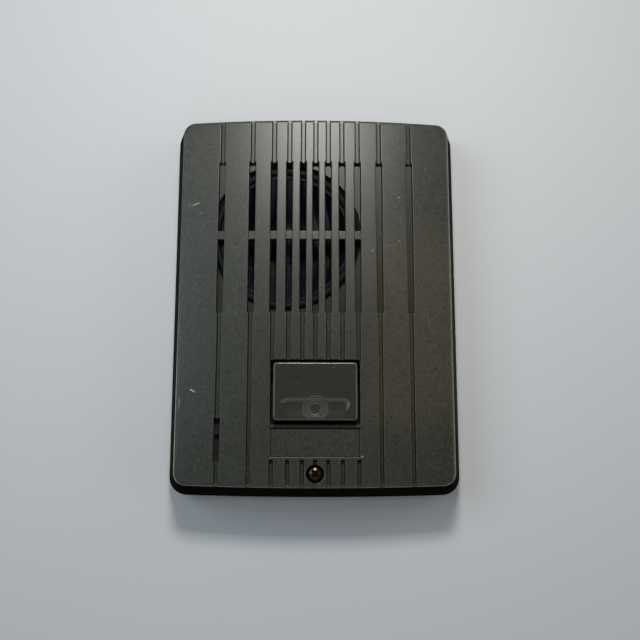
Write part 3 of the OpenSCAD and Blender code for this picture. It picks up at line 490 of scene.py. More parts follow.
# Scratches, nicks and chips: place (x, up), turn in degrees, length, width, strength
SCRATCHES = (
    ((-41.6, 32.1), 35, 1.7, 0.34, 0.8),
    ((-40.9, 32.35), 38, 2.0, 0.36, 0.9),
    ((-40.1, 32.6), 35, 1.7, 0.34, 0.85),
    ((-43.2, 32.1), 4, 3.0, 0.3, 0.25),
    ((-39.2, 29.0), -25, 1.0, 0.3, 0.3),
    ((-40.3, -31.4), -27, 3.0, 0.66, 1.0),
    ((-44.6, -35.4), 88, 5.5, 0.7, 0.25),
    ((28.5, 34.9), 32, 2.3, 0.36, 0.5),
    ((29.2, 27.0), 90, 4.5, 0.2, 0.2),
    ((28.3, 19.5), 20, 1.5, 0.4, 0.4),
    ((25.2, 17.8), 8, 4.4, 0.22, 0.25),
    ((19.3, 16.0), 45, 2.0, 0.45, 0.45),
    ((37.7, 45.1), 40, 2.0, 0.25, 0.35),
    ((15.3, -52.6), 20, 1.1, 0.5, 0.8),
    ((-6.0, 55.0), 8, 5.0, 0.16, 0.25),
    ((38.0, -8.0), 95, 7.0, 0.18, 0.2),
    ((-27.0, -12.0), 100, 4.0, 0.16, 0.2),
    ((-46.0, -50.4), 92, 5.5, 0.6, 0.5),
)


BUTTON_SCRATCHES = (
    ((6.1, -23.9), 20, 0.6, 0.4, 1.0),
    ((-6.5, -29.0), -12, 7.0, 0.14, 0.3),
)


def button_plastic(settings):
    """Smooth smoked plastic, polished by fingers in its scoop and finely scratched, with painted
    highlights: light grey on its worn rounded edge, a painted reflection band under the scoop's
    upper edge, and lighter rings.
    """
    f = Finish("button_plastic")
    cloud = f.noise(9, 3)
    fine = f.noise(0.3, 2)
    hair = f.noise(1.1, 3, 0.6, f.stretched(0.25, 1.0, 3.0))
    base = f.tones(cloud, settings.plastic, 0.9, 1.1)
    # Wear and painted highlight: light grey on the rounded edge, and a painted reflection band
    # under the scoop's upper edge
    base = f.tint(base, f.mark("edge") * 0.65, (0.5, 0.51, 0.52))
    ring = f.mark("ring")
    # Painted highlight: the rings drawn lighter
    base = f.tint(base, ring * 0.32, (0.37, 0.37, 0.35))
    dust = f.step(f.noise(0.5, 2, 0.5), 0.7, 0.78) * 0.25
    base = f.tint(base, dust.over(f.scratches(BUTTON_SCRATCHES) * 0.8), (0.62, 0.62, 0.58))
    smooth = 0.15 + 0.03 * f.step(hair, 0.45, 0.8) + 0.04 * fine - 0.03 * f.mark("scoop")
    return f.done(
        Base_Color=base,
        Roughness=smooth + 0.4 * f.step(ring, 0.0, 0.3),
        Normal=f.bump(fine, 0.0015),
    )


def cone_film(settings, name, rough, shine):
    """Blue-black film over paper, with patches of dust."""
    f = Finish(name)
    paper = f.noise(0.6, 3, 0.6)
    dust = f.step(f.noise(1.3, 4, 0.7), 0.5, 0.8)
    base = f.tint(f.tones(paper, settings.film, 0.8, 1.2), dust * 0.03, (0.4, 0.43, 0.5))
    return f.done(
        Base_Color=base, Roughness=rough + 0.15 * dust, Specular_IOR_Level=shine,
        Normal=f.bump(paper, 0.012),
    )


def bronze_painted_light(settings):
    """Bronzed steel with tarnished patches: painted shade darkens its cross, and a painted
    highlight lightens a thin band round it.
    """
    f = Finish("screw_bronze")
    patch = f.step(f.noise(0.7, 4, 0.7), 0.4, 0.65)
    sunk = f.mark("cross")
    base = f.tones(patch, settings.bronze, 1.15, 0.55)
    # Painted shade in the cross
    base = f.tint(base, sunk * 0.7, (0.08, 0.065, 0.045))
    # Painted highlight round the cross's upper edges
    rubbed = f.step(sunk, 0.0, 0.06) * f.step(sunk, 0.34, 0.12)
    base = f.tint(base, rubbed * (1 - 0.5 * patch), (0.7, 0.66, 0.56))
    return f.done(
        Base_Color=base, Metallic=0.9, Roughness=0.14 + 0.2 * patch + 0.2 * sunk,
        Normal=f.bump(f.noise(0.25, 3), 0.02),
    )


# Finishes by name: recipe, colour and what else the recipe takes
PLAIN_FINISHES = {
    "rear_plastic": (moulded, (0.17, 0.17, 0.155), 0.55, 0.4, 0.014),
    "black_plastic": (moulded, (0.11, 0.11, 0.11), 0.4, 0.3, 0.006),
    "white_plastic": (moulded, (0.84, 0.83, 0.77), 0.4, 0.5, 0.004, 0.05),
    "rubber": (soft_rubber, (0.06, 0.06, 0.06)),
    "foam": (closed_foam, (0.25, 0.25, 0.24)),
    "steel": (plated, (0.70, 0.705, 0.69)),
    "brass": (plated, (0.74, 0.60, 0.32), 0.28, (6.0, 1.0, 1.0), 0.35),
    "capsule_can": (felted_can, (0.70, 0.70, 0.68)),
    # Near-black steel for the button's pin: painted shade
    "shade_darkened_steel": (plated, (0.10, 0.095, 0.085), 0.5),
    "damper_cloth": (pressed_cloth, (0.62, 0.50, 0.30)),
    "copper": (wound, (0.70, 0.40, 0.20), 0.16),
    "ferrite": (sintered, (0.21, 0.21, 0.22)),
    "board": (laminate, (0.55, 0.42, 0.20)),
    "can_sleeve": (dipped, (0.09, 0.10, 0.13), 0.28, 0.02),
    "film_dip": (dipped, (0.60, 0.22, 0.13), 0.2, 0.08),
    "resistor_lacquer": (dipped, (0.76, 0.65, 0.46), 0.35, 0.03),
    "red_sheath": (dipped, (0.68, 0.13, 0.11), 0.38, 0.01),
    "blue_sheath": (dipped, (0.14, 0.15, 0.47), 0.38, 0.01),
}


# Meshes


def stand(points):
    """Stands face-up millimetres on the wall, in metres."""
    p = np.asarray(points, float)
    return np.stack([p[:, 0], -p[:, 2], p[:, 1]], axis=1) * MM


class Moulding:
    """Points and faces of one piece, drawn face up in millimetres, with marks on its points."""

    def __init__(self, *marks):
        self.points = []
        self.faces = []
        self.marks = {name: [] for name in marks}

    def add(self, points, **marks):
        """Adds points, and gives their numbers."""
        start = len(self.points)
        points = np.asarray(points, float).reshape(-1, 3)
        self.points.extend(points.tolist())
        for name, kept in self.marks.items():
            kept.extend(np.broadcast_to(marks.get(name, 0.0), len(points)).tolist())
        return np.arange(start, start + len(points))

    def face(self, points):
        self.faces.append([int(p) for p in points])

    def band(self, upper, lower):
        """Faces between two closed rows; the outside is on the right of the way they run."""
        after = np.roll(upper, -1), np.roll(lower, -1)
        for ring in zip(upper, lower, after[1], after[0]):
            self.face(ring)

    def skin(self, rows):
        """Faces between each row and the next."""
        for upper, lower in zip(rows, rows[1:]):
            self.band(upper, lower)

    def piece(self, name, body, replaced, finish, sharp=38):
        """Makes the object; edges over sharp degrees stay sharp."""
        mesh = bpy.data.meshes.new(name)
        mesh.from_pydata(stand(self.points).tolist(), [], self.faces)
        for mark, values in self.marks.items():
            mesh.attributes.new(mark, "FLOAT", "POINT").data.foreach_set("value", values)
        if mesh.validate():
            raise RuntimeError(f"{name} has bad faces")
        mesh.shade_smooth()
        mesh.set_sharp_from_angle(angle=math.radians(sharp))
        mesh.materials.append(finish)
        made = bpy.data.objects.new(name, mesh)
        bpy.context.scene.collection.objects.link(made)
        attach(made, body)
        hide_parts(*replaced)
        return made


# Grid lines nearer than this are one line, and points nearer than NEAR to a line lie on it
SAME_LINE = 0.004
NEAR = 0.01


def filled(places, widest):
    """Sorted grid lines with more between them, so that no gap is over widest."""
    lines = [min(places)]
    for place in sorted(places)[1:]:
        start, gap = lines[-1], place - lines[-1]
        if gap < SAME_LINE:
            continue
        parts = max(1, math.ceil(gap / widest - 1e-9))
        lines.extend(start + gap * (i + 1) / parts for i in range(parts))
    return np.array(lines)


def rounded_loop(across, up, radius, centre=(0, 0), steps=8):
    """Points round a rectangle with round corners, against the clock."""
    turn = np.linspace(0, math.pi / 2, steps)
    loop = []
    for quarter, (sx, sy) in enumerate(((1, 1), (-1, 1), (-1, -1), (1, -1))):
        a = turn + quarter * math.pi / 2
        loop.append(np.stack([
            centre[0] + sx * (across / 2 - radius) + radius * np.cos(a),
            centre[1] + sy * (up / 2 - radius) + radius * np.sin(a),
        ], axis=1))
    return np.concatenate(loop)


def at_height(loop, z):
    return np.column_stack([loop, np.full(len(loop), z)])


def add_ring(moulding, outer, inner, low, high):
    """A closed ring between two loops that have as many points."""
    corners = (inner, high), (outer, high), (outer, low), (inner, low)
    rows = [moulding.add(at_height(*corner)) for corner in corners]
    moulding.skin(rows + rows[:1])


def add_plate(moulding, loops, low, high, **marks):
    """A flat plate: the first loop is its outline, the rest are holes."""
    flat = bmesh.new()
    rims = []
    for loop in loops:
        corners = [flat.verts.new((x, y, 0)) for x, y in loop]
        rims.append(corners)
        for a, b in zip(corners, corners[1:] + corners[:1]):
            flat.edges.new((a, b))
    bmesh.ops.triangle_fill(
        flat, use_beauty=True, use_dissolve=False, edges=flat.edges[:], normal=(0, 0, 1)
    )
    flat.verts.index_update()
    plan = np.array([v.co[:2] for v in flat.verts])
    top = moulding.add(at_height(plan, high), **marks)
    bottom = moulding.add(at_height(plan, low))
    for face in flat.faces:
        ids = [v.index for v in face.verts]
        if face.normal.z < 0:
            ids.reverse()
        moulding.face(top[ids])
        moulding.face(bottom[ids[::-1]])
    for number, rim in enumerate(rims):
        ids = [v.index for v in rim]
        if number:
            ids.reverse()
        moulding.band(top[ids], bottom[ids])
    flat.free()


def round_spots(centre, radius, turn, z):
    """Points round a centre, at some angles."""
    spots = centre[0] + radius * np.cos(turn), centre[1] + radius * np.sin(turn)
    return np.column_stack([*spots, np.broadcast_to(z, len(turn))])


def add_lathe(moulding, outline, centre, steps):
    """Spins a closed (radius, height) outline round a line out of the wall."""
    turn = np.linspace(0, 2 * math.pi, steps, endpoint=False)
    rows = []
    for radius, z in outline:
        spots = round_spots(centre, radius, turn, z)
        rows.append(moulding.add(spots if radius > 0 else spots[:1]))
    for upper, lower in zip(rows, rows[1:] + rows[:1]):
        if len(upper) > 1 and len(lower) > 1:
            moulding.band(upper, lower)
        elif len(upper) > 1:
            for a, b in zip(upper, np.roll(upper, -1)):
                moulding.face((a, lower[0], b))
        elif len(lower) > 1:
            for a, b in zip(lower, np.roll(lower, -1)):
                moulding.face((upper[0], a, b))


# Rounded lip of a cut: distance inside its edge, and the drop there; then a leaning wall
LIP_AT = (-0.28, -0.2, -0.12, -0.05, 0.0)
LIP_DROP = (0.0, 0.0, 0.02, 0.08, 0.2)
WALL_LEAN = 0.2
# Where the painted shade in a cut ends, inside its edge
SHADE_END = 0.34

# Painted shade in a groove: distance inside its edge, and how dark it is there
GROOVE_SHADE_AT = (-0.05, 0.0, WALL_LEAN, SHADE_END)
GROOVE_SHADE = (0.0, 0.9, 1.0, 0.2)


def lip_drop(inside, depth):
    """Drop of a cut's surface at a distance inside its edge."""
    wall = LIP_DROP[-1] + (depth - LIP_DROP[-1]) * np.clip(inside / WALL_LEAN, 0, 1)
    return np.where(inside < 0, np.interp(inside, LIP_AT, LIP_DROP), wall)


def cut_lines(low, high):
    """Grid lines across a cut: its lips, the feet of its walls and the end of the painted shade
    there.
    """
    lip = (*LIP_AT, WALL_LEAN, SHADE_END)
    return [low + s for s in lip] + [high - s for s in lip]


def inside_of(x, y, low_x, high_x, low_y, high_y):
    """Distance inside a rectangle, negative outside it."""
    return np.minimum(np.minimum(x - low_x, high_x - x), np.minimum(y - low_y, high_y - y))


def round_corners(x, y, half_x, half_y):
    """Turns a grid's corners, beyond half_x and half_y, into quarter discs; gives the way out."""
    over_x = np.clip(np.abs(x) - half_x, 0, None)
    over_y = np.clip(np.abs(y) - half_y, 0, None)
    reach = np.maximum(over_x, over_y)
    slope_x = over_y / np.where(over_x > 0, over_x, 1)
    slope_y = 2 - over_x / np.where(over_y > 0, over_y, 1)
    turn = np.where(over_x >= over_y, slope_x, slope_y) * math.pi / 4
    out_x, out_y = np.cos(turn) * np.sign(x), np.sin(turn) * np.sign(y)
    core_x, core_y = np.clip(x, -half_x, half_x), np.clip(y, -half_y, half_y)
    return core_x + reach * out_x, core_y + reach * out_y, out_x, out_y


def numbered(rows, columns):
    """Numbers of a grid's points, with rows counted upwards."""
    return np.arange(rows * columns).reshape(rows, columns)


def border(rows, columns):
    """Numbers of a grid's outer points, against the clock."""
    ids = numbered(rows, columns)
    return np.concatenate([ids[0, :-1], ids[:-1, -1], ids[-1, :0:-1], ids[:0:-1, 0]])


def add_grid(moulding, kept, top, bottom=None):
    """The cells of a grid that are kept, above and, where it has points there, below."""
    ids = numbered(kept.shape[0] + 1, kept.shape[1] + 1)
    for j, i in np.argwhere(kept):
        ring = [ids[j, i], ids[j, i + 1], ids[j + 1, i + 1], ids[j + 1, i]]
        moulding.face(top[ring])
        if bottom is not None:
            moulding.face(bottom[ring[::-1]])


def hole_edges(kept, holes):
    """Edges of kept cells that border on holes, as the kept cell runs them."""
    ids = numbered(kept.shape[0] + 1, kept.shape[1] + 1)
    known = np.pad(kept, 1)
    found = []
    for j, i in np.argwhere(holes):
        low, high = ids[j, i:i + 2], ids[j + 1, i:i + 2]
        for beside, edge in (
            (known[j, i + 1], (low[1], low[0])),
            (known[j + 2, i + 1], (high[0], high[1])),
            (known[j + 1, i], (low[0], high[0])),
            (known[j + 1, i + 2], (high[1], low[1])),
        ):
            if beside:
                found.append(edge)
    return found


# Cover, in face-up millimetres

GROOVES = (-32.1, -21.7, -14.3, -9.0, -4.3, 0.0, 4.3, 9.0, 14.3, 21.7, 32.1)
SLOT_ENDS = (-5.4, 47.3)
SLOT_FLOOR = 19.6
SLOT_LEAN = 0.22
SLOT_HOOD = 0.9
HOOD_FROM = 1.4
FRONT_INSIDE = 18.2
BAR = (19.9, 22.9)
BAR_DROP = 0.45
RECESS = (-14.75, 14.75, -42.3, -21.1)
SILL = (-43.4, -42.3)
SILL_DROPS = (0.4, 1.6)
CREASE = (-43.85, -43.4)
CREASE_DROP = 1.2
PANEL = (-14.6, 14.6, -52.85, -43.85)
PANEL_DROP = 0.6
FOOT = -53.65
MIC_SLIT = (-33.15, -31.05, -52.5, -40.3)
MIC_TAIL = -54.6
MIC_CUT = (*MIC_SLIT[:2], MIC_TAIL, MIC_SLIT[3])
SCREW_AT = (0.0, -58.2)
SCREW_SEAT = 19.6
SCREW_BORE = 3.0
SCREW_SQUARE = 3.25
TAP_R = 1.7
TUNNEL_END = 13.5
FACE_CORNER = (42.0, 58.7)
RIM_CORNER = (43.5, 60.2)
HOLLOW_CORNER = (43.1, 58.8)
FACE_R = 4.0
EDGE_R = 1.2
RIM_R = 6.0
HOLLOW_R = 3.5
FLAT_R = FACE_R - EDGE_R
WALL_DRAFT = 3.5
LEAN_FROM = 7.5
LAND_BACK = 19.5
PAST_END = 80
OPEN_CUT = 1.0
RUBBED = (-0.15, -0.01)
# Painted shade: how far the shadow runs down from the top ends of the grooves below the panel, and
# how dark it is along the panel's edge and on the slots' floor
FOOT_SHADE = 1.35
PANEL_SHADE = 0.6
FLOOR_SHADE = 0.65
CREASE_WALL = 0.04
MITRES = (0.28, 0.55, 0.83, 1.1)
EARS = (0.2, 1.0)
BOW_FROM = 52
SQUEEZE_FROM = 55
TUNNEL_WALL = 2.0
RECESS_R = 0.8
ROUND_STEPS = 160
# The rounded edge is rubbed most at one angle, and past another it turns into the dull side, which
# is painted darker as shade
RUB_AT, RUB_WITHIN, RUB_MOST = 40, 38, 0.75
DULL_FROM, DULL_OVER = 54.95, 35


def crown_height(settings, x):
    """Height of the bowed front."""
    radius = mm(settings.crown)
    return mm(settings.depth) - radius + np.sqrt(radius * radius - x * x)


def cover_cuts(settings, x, y):
    """How far the front drops at each point, with marks for rubbed edges, which on the sill's ends
    are a painted highlight, and for painted shade in grooves, along the panel's edge and in the
    crease.
    """
    drop = np.zeros_like(x)
    edge = np.zeros_like(x)
    sunk = np.zeros_like(x)

    def cut(inside, depth):
        np.maximum(drop, lip_drop(inside, depth), out=drop)
        rubbed = (inside > RUBBED[0]) & (inside <= RUBBED[1])
        np.maximum(edge, rubbed * 1.0, out=edge)

    groove = mm(settings.groove) / 2
    slot = mm(settings.slot) / 2
    depth = mm(settings.groove_depth)
    for place in GROOVES:
        runs = [(SLOT_ENDS[1] - 1, PAST_END)]
        if abs(place) < RECESS[1]:
            runs += [(RECESS[3] - 1, SLOT_ENDS[0] + 1), (-PAST_END, FOOT)]
        else:
            runs += [(-PAST_END, SLOT_ENDS[0] + 1)]
        for low, high in runs:
            inside = inside_of(x, y, place - groove, place + groove, low, high)
            cut(inside, depth)
            # Painted shade along the groove's walls, fading toward its middle
            np.maximum(sunk, np.interp(inside, GROOVE_SHADE_AT, GROOVE_SHADE), out=sunk)
            # Painted shadow down from the top ends of the grooves below the panel
            if high == FOOT:
                np.maximum(sunk, ((inside > -NEAR) & (y > FOOT - FOOT_SHADE)) * 1.0, out=sunk)
        cut(inside_of(x, y, place - slot, place + slot, *SLOT_ENDS), BAR_DROP)
        in_slot = np.abs(x - place) < slot - NEAR
        bar_edge = np.minimum(BAR[1] - y, y - BAR[0])
        rolled = BAR_DROP + np.interp(-bar_edge, LIP_AT, LIP_DROP)
        np.maximum(drop, np.where(in_slot & (bar_edge > -NEAR), rolled, 0), out=drop)
    for opening in (RECESS, MIC_CUT):
        cut(inside_of(x, y, *opening), OPEN_CUT)
    crown = crown_height(settings, x)
    low_front = crown_height(settings, RECESS[1])
    in_panel = inside_of(x, y, *PANEL)
    cut(in_panel, crown - low_front + PANEL_DROP)
    # Painted shade along the panel's edges
    np.maximum(sunk, PANEL_SHADE * np.interp(in_panel, GROOVE_SHADE_AT, (*GROOVE_SHADE[:3], 0.0)), out=sunk)
    from_side = RECESS[1] - np.abs(x)
    sill_h = SILL[1] - SILL[0]
    mitre = np.minimum(np.clip(y - SILL[0], 0, sill_h), np.clip(from_side, 0, sill_h))
    sill = SILL_DROPS[0] + (SILL_DROPS[1] - SILL_DROPS[0]) * mitre / sill_h
    crease = np.interp(
        y, [CREASE[0], CREASE[0] + CREASE_WALL, CREASE[1] - CREASE_WALL, CREASE[1]],
        [PANEL_DROP + 0.05, CREASE_DROP, CREASE_DROP, SILL_DROPS[0]],
    )
    tiny = 1e-6
    floor = crown - low_front + np.where(y < CREASE[1] - tiny, crease, sill)
    in_sill = (y > CREASE[0] - tiny) & (y < SILL[1] + tiny)
    np.maximum(drop, np.where(in_sill, lip_drop(from_side, floor), 0), out=drop)
    in_crease = (y > CREASE[0] - NEAR) & (y < CREASE[1] + NEAR) & (from_side > -NEAR)
    # Painted shade in the crease
    sunk[in_crease] = 1.0
    edge[(np.abs(y - CREASE[0]) < 0.35) & (from_side > EARS[0])] = 0.0
    # Painted highlight: the sill's mitred ends get the rubbed-edge mark
    in_ears = (from_side > EARS[0]) & (from_side < EARS[1])
    edge[in_sill & (y > SILL[0] - tiny) & in_ears] = 0.7
    return drop, edge, sunk


def cover_holes(settings, x, y):
    """Which cells are open: slots, the button's recess and the microphone slit."""
    slot = mm(settings.slot) / 2
    speaker = bpy.context.scene.door_speaker
    reach = mm(speaker.opening) - slot
    holes = np.zeros_like(x, bool)
    for place in GROOVES:
        in_slot = (np.abs(x - place) < slot) & (y > SLOT_ENDS[0]) & (y < SLOT_ENDS[1])
        if abs(place - mm(speaker.across)) < reach:
            in_slot &= (y < BAR[0]) | (y > BAR[1])
        holes |= in_slot
    for opening in (RECESS, MIC_CUT):
        holes |= inside_of(x, y, *opening) > 0
    return holes


def slot_feet(settings, x, y):
    """How far the slots' walls lean in at their feet, sideways and down, and the painted shade
    there.
    """
    slot = mm(settings.slot) / 2
    lean, hood = np.zeros_like(x), np.zeros_like(x)
    along = (y > SLOT_ENDS[0] - NEAR) & (y < SLOT_ENDS[1] + NEAR)
    near_end = np.clip(1 - (SLOT_ENDS[1] - y) / HOOD_FROM, 0, 1)
    for place in GROOVES:
        off = np.abs(x - place)
        on_wall = along & (np.abs(off - slot) < NEAR)
        lean[on_wall] = SLOT_LEAN * np.sign(place - x[on_wall])
        on_end = (np.abs(y - SLOT_ENDS[1]) < NEAR) & (off < slot + NEAR)
        hood = np.where(on_wall | on_end, SLOT_HOOD * near_end, hood)
    # Painted shade on the slots' walls and hooded ends, and on the openings' walls
    painted_shade = np.maximum(np.abs(lean) / SLOT_LEAN, (hood > 0) * 1.0)
    for opening in (RECESS, MIC_CUT):
        painted_shade[np.abs(inside_of(x, y, *opening)) < NEAR] = 1.0
    return lean, hood, painted_shade


def cover_lines(settings):
    """Grid lines across and up the front."""
    half_x, half_y = FACE_CORNER[0] + FLAT_R, FACE_CORNER[1] + FLAT_R
    corner = np.linspace(0, FLAT_R, 8)
    across = [s * (FACE_CORNER[0] + c) for s in (-1, 1) for c in corner]
    upwards = [s * (FACE_CORNER[1] + c) for s in (-1, 1) for c in corner]
    for place in GROOVES:
        for half in (mm(settings.groove) / 2, mm(settings.slot) / 2):
            across += cut_lines(place - half, place + half)
        across.append(place)
    across += cut_lines(*RECESS[:2]) + cut_lines(*PANEL[:2]) + cut_lines(*MIC_SLIT[:2])
    across += [s * (RECESS[1] - c) for s in (-1, 1) for c in MITRES]
    for low, high in (SLOT_ENDS, MIC_CUT[2:], RECESS[2:], PANEL[2:]):
        upwards += cut_lines(low, high)
    upwards += [BAR[0] - s for s in LIP_AT] + [BAR[1] + s for s in LIP_AT]
    upwards += [FOOT - s for s in (*LIP_AT, WALL_LEAN, FOOT_SHADE - 0.05, FOOT_SHADE + 0.15)]
    upwards += [CREASE[0] + CREASE_WALL, CREASE[1] - CREASE_WALL]
    upwards += [SILL[0] + c for c in (0, *MITRES[:-1])]
    for lines, middle in zip((across, upwards), SCREW_AT):
        lines += [middle - SCREW_SQUARE, middle + SCREW_SQUARE]
    across, upwards = filled(across, 1.6), filled(upwards, 1.6)
    if across[-1] > half_x + NEAR or upwards[-1] > half_y + NEAR:
        raise RuntimeError("a cut runs past the cover's face")
    return across, upwards


def make_cover(settings):
    across, upwards = cover_lines(settings)
    x, y = np.meshgrid(across, upwards)
    face_x, face_y, out_x, out_y = round_corners(x, y, *FACE_CORNER)
    half_w = mm(settings.width) / 2
    near_end = np.clip((np.abs(y) - BOW_FROM) / (FACE_CORNER[1] - BOW_FROM), 0, 1)
    bowed = np.sign(y) * mm(settings.bow) * (face_x / half_w) ** 2 * near_end
    drop, edge, sunk = cover_cuts(settings, x, y)
    crown = crown_height(settings, face_x)
    shell = Moulding("edge", "groove", "side")
    flat = np.stack([face_x, face_y - bowed, crown - drop], axis=-1).reshape(-1, 3)
    top = shell.add(flat, edge=edge.ravel(), groove=sunk.ravel())
    end_y = FACE_CORNER[1] + FLAT_R
    at_end = np.clip((np.abs(y) - SQUEEZE_FROM) / (end_y - SQUEEZE_FROM), 0, 1)
    squeeze = 1 - at_end * mm(settings.bow) / end_y
    lean, hood, foot_shade = slot_feet(settings, x, y)
    under = np.stack([face_x + lean, face_y * squeeze - hood, np.full_like(x, LAND_BACK)], axis=-1)
    bottom = shell.add(under, groove=foot_shade.ravel())

    middle_x = (x[1:, 1:] + x[:-1, :-1]) / 2
    middle_y = (y[1:, 1:] + y[:-1, :-1]) / 2
    holes = cover_holes(settings, middle_x, middle_y)
    off_screw = np.maximum(np.abs(middle_x - SCREW_AT[0]), np.abs(middle_y - SCREW_AT[1]))
    screw = off_screw < SCREW_SQUARE
    kept = ~(holes | screw)
    add_grid(shell, kept, top, bottom)
    for a, b in hole_edges(kept, holes):
        shell.face((top[a], bottom[a], bottom[b], top[b]))
    add_screw_bore(shell, top, bottom, flat, hole_edges(kept, screw))
    grids = x, y, out_x, out_y, crown, drop, bowed
    add_cover_sides(shell, settings, top, bottom, border(*x.shape), grids)
    add_cover_inside(shell)
    finish = cover_plastic(settings)
    return shell.piece("cover_moulding", "unit", ["front_cover"], finish)


def add_screw_bore(shell, top, bottom, flat, edges):
    """Counterbore of the cover screw, lofted from a square hole in the grid."""
    after = dict(edges)
    ring = [edges[0][0]]
    while after[ring[-1]] != ring[0]:
        ring.append(after[ring[-1]])
    ring = np.array(ring)
    turn = np.arctan2(flat[ring, 1] - SCREW_AT[1], flat[ring, 0] - SCREW_AT[0])
    level = flat[ring, 2]

    def row(radius, z, edge=0.0, painted_shade=0.0):
        return shell.add(round_spots(SCREW_AT, radius, turn, z), edge=edge, groove=painted_shade)

    rows = [top[ring]]
    for s, lip in zip(LIP_AT, LIP_DROP):
        rows.append(row(SCREW_BORE - s, level - lip, 1.0 if lip else 0.0))
    # Painted shade down the bore's wall and on its seat
    rows.append(row(SCREW_BORE - 0.02, SCREW_SEAT + 1.6, painted_shade=1.0))
    rows.append(row(SCREW_BORE - 0.04, SCREW_SEAT, painted_shade=1.0))
    rows += [row(TAP_R, SCREW_SEAT, painted_shade=1.0), row(TAP_R, LAND_BACK), bottom[ring]]
    shell.skin(rows)


def add_cover_sides(shell, settings, top, bottom, loop, grids):
    """Rounded edge, leaning walls, rim and inner walls, run round the face's border."""
    x, y, out_x, out_y, crown, drop, bowed = (g.ravel()[loop] for g in grids)
    core_x = np.clip(x, -FACE_CORNER[0], FACE_CORNER[0])
    core_y = np.clip(y, -FACE_CORNER[1], FACE_CORNER[1])
    rows = [top[loop]]

    def row(spot_x, spot_y, z, edge=0.0, side=1.0):
        spots = np.column_stack([spot_x, spot_y, np.broadcast_to(z, len(loop))])
        rows.append(shell.add(spots, edge=edge, side=side))

    for turn in np.linspace(0, math.pi / 2, 13)[1:]:
        reach = FLAT_R + EDGE_R * math.sin(turn)
        fillet = crown - EDGE_R + EDGE_R * math.cos(turn)
        rub = max(0.0, 1 - abs(math.degrees(turn) - RUB_AT) / RUB_WITHIN)
        round_y = core_y - bowed + reach * out_y
        dull = max(0.0, (math.degrees(turn) - DULL_FROM) / DULL_OVER)
        round_z = np.minimum(fillet, crown - drop)
        row(core_x + reach * out_x, round_y, round_z, RUB_MOST * rub, dull)
    face = core_x + FACE_R * out_x, core_y - bowed + FACE_R * out_y, crown - EDGE_R
    rim_x = core_x * RIM_CORNER[0] / FACE_CORNER[0] + RIM_R * out_x
    rim_y = core_y * RIM_CORNER[1] / FACE_CORNER[1] - bowed + RIM_R * out_y
    low = mm(settings.rim)
    for share in (0.15, 0.4, 0.7, 1):
        row(*(a + (b - a) * share for a, b in zip(face, (rim_x, rim_y, low + 1))))
    for inset, rise, rub in ((0, 0.3, 0.0), (0.08, 0.08, 0.6), (0.3, 0, 0.3)):
        row(rim_x - inset * out_x, rim_y - inset * out_y, low + rise, rub)
    for inset, z in ((0, low), (0, LEAN_FROM), (WALL_DRAFT, FRONT_INSIDE)):
        hollow_x = core_x * (HOLLOW_CORNER[0] - inset) / FACE_CORNER[0] + HOLLOW_R * out_x
        hollow_y = core_y * (HOLLOW_CORNER[1] - inset) / FACE_CORNER[1] + HOLLOW_R * out_y
        row(hollow_x, hollow_y, z)
    rows.append(bottom[loop])
    shell.skin(rows)


def add_cover_inside(shell):
    """The plate behind the slots, with its round opening, and the tunnel behind the button."""
    speaker = bpy.context.scene.door_speaker
    turn = np.linspace(0, 2 * math.pi, ROUND_STEPS, endpoint=False)
    circle = np.column_stack([np.cos(turn), np.sin(turn)])
    inner = [2 * (half - WALL_DRAFT + HOLLOW_R) + 1 for half in HOLLOW_CORNER]
    hollow = rounded_loop(*inner, HOLLOW_R + 0.5)
    recess_w, recess_h = RECESS[1] - RECESS[0], RECESS[3] - RECESS[2]
    recess_at = (0, (RECESS[2] + RECESS[3]) / 2)
    slit = rounded_loop(
        MIC_SLIT[1] - MIC_SLIT[0], MIC_SLIT[3] - MIC_SLIT[2], 0.05,
        ((MIC_SLIT[0] + MIC_SLIT[1]) / 2, (MIC_SLIT[2] + MIC_SLIT[3]) / 2), 2,
    )
    # The slots' floor plate is painted darker, as shade
    add_plate(shell, [
        hollow,
        np.array(speaker_middle(speaker)) + mm(speaker.opening) * circle,
        rounded_loop(recess_w + 1, recess_h + 1, RECESS_R, recess_at),
        slit,
        np.array(SCREW_AT) + 2.2 * circle[::5],
    ], FRONT_INSIDE, SLOT_FLOOR, groove=FLOOR_SHADE)
    tunnel = recess_w + 2 * TUNNEL_WALL, recess_h + 2 * TUNNEL_WALL, RECESS_R + TUNNEL_WALL
    add_ring(
        shell, rounded_loop(*tunnel, recess_at),
        rounded_loop(recess_w, recess_h, RECESS_R, recess_at), TUNNEL_END, LAND_BACK,
    )


# Call button

BUTTON_FACE = 23.2
BUTTON_UNDER = 20.6
BUTTON_FOOT = 15.6
BUTTON_Y = -31.6
BUTTON_CORNER = 1.2
BUTTON_ROUND = 0.6
BUTTON_SKIRT = 1.2
SCOOP_Y = -37.2
SCOOP_SHIFT = 0.5
SCOOP_SOFT = 0.06
SCOOP_LIP = 0.12
# Painted reflection band under the scoop's upper edge: how deep it reaches, how it fades, and how
# strong it is
BROW_DEPTH, BROW_FADE, BROW_HIGHLIGHT = 0.55, 0.35, 0.55
RING_FIRST, RING_LAST, RING_PITCH, RING_WIDTH, RING_DEPTH = 1.8, 3.9, 0.7, 0.3, 0.08
RING_SOFT = 0.06
FINE_LINES = 0.08
NIB_Y = -36.6
NIB_R = 2.0
NIB_END = 16.0


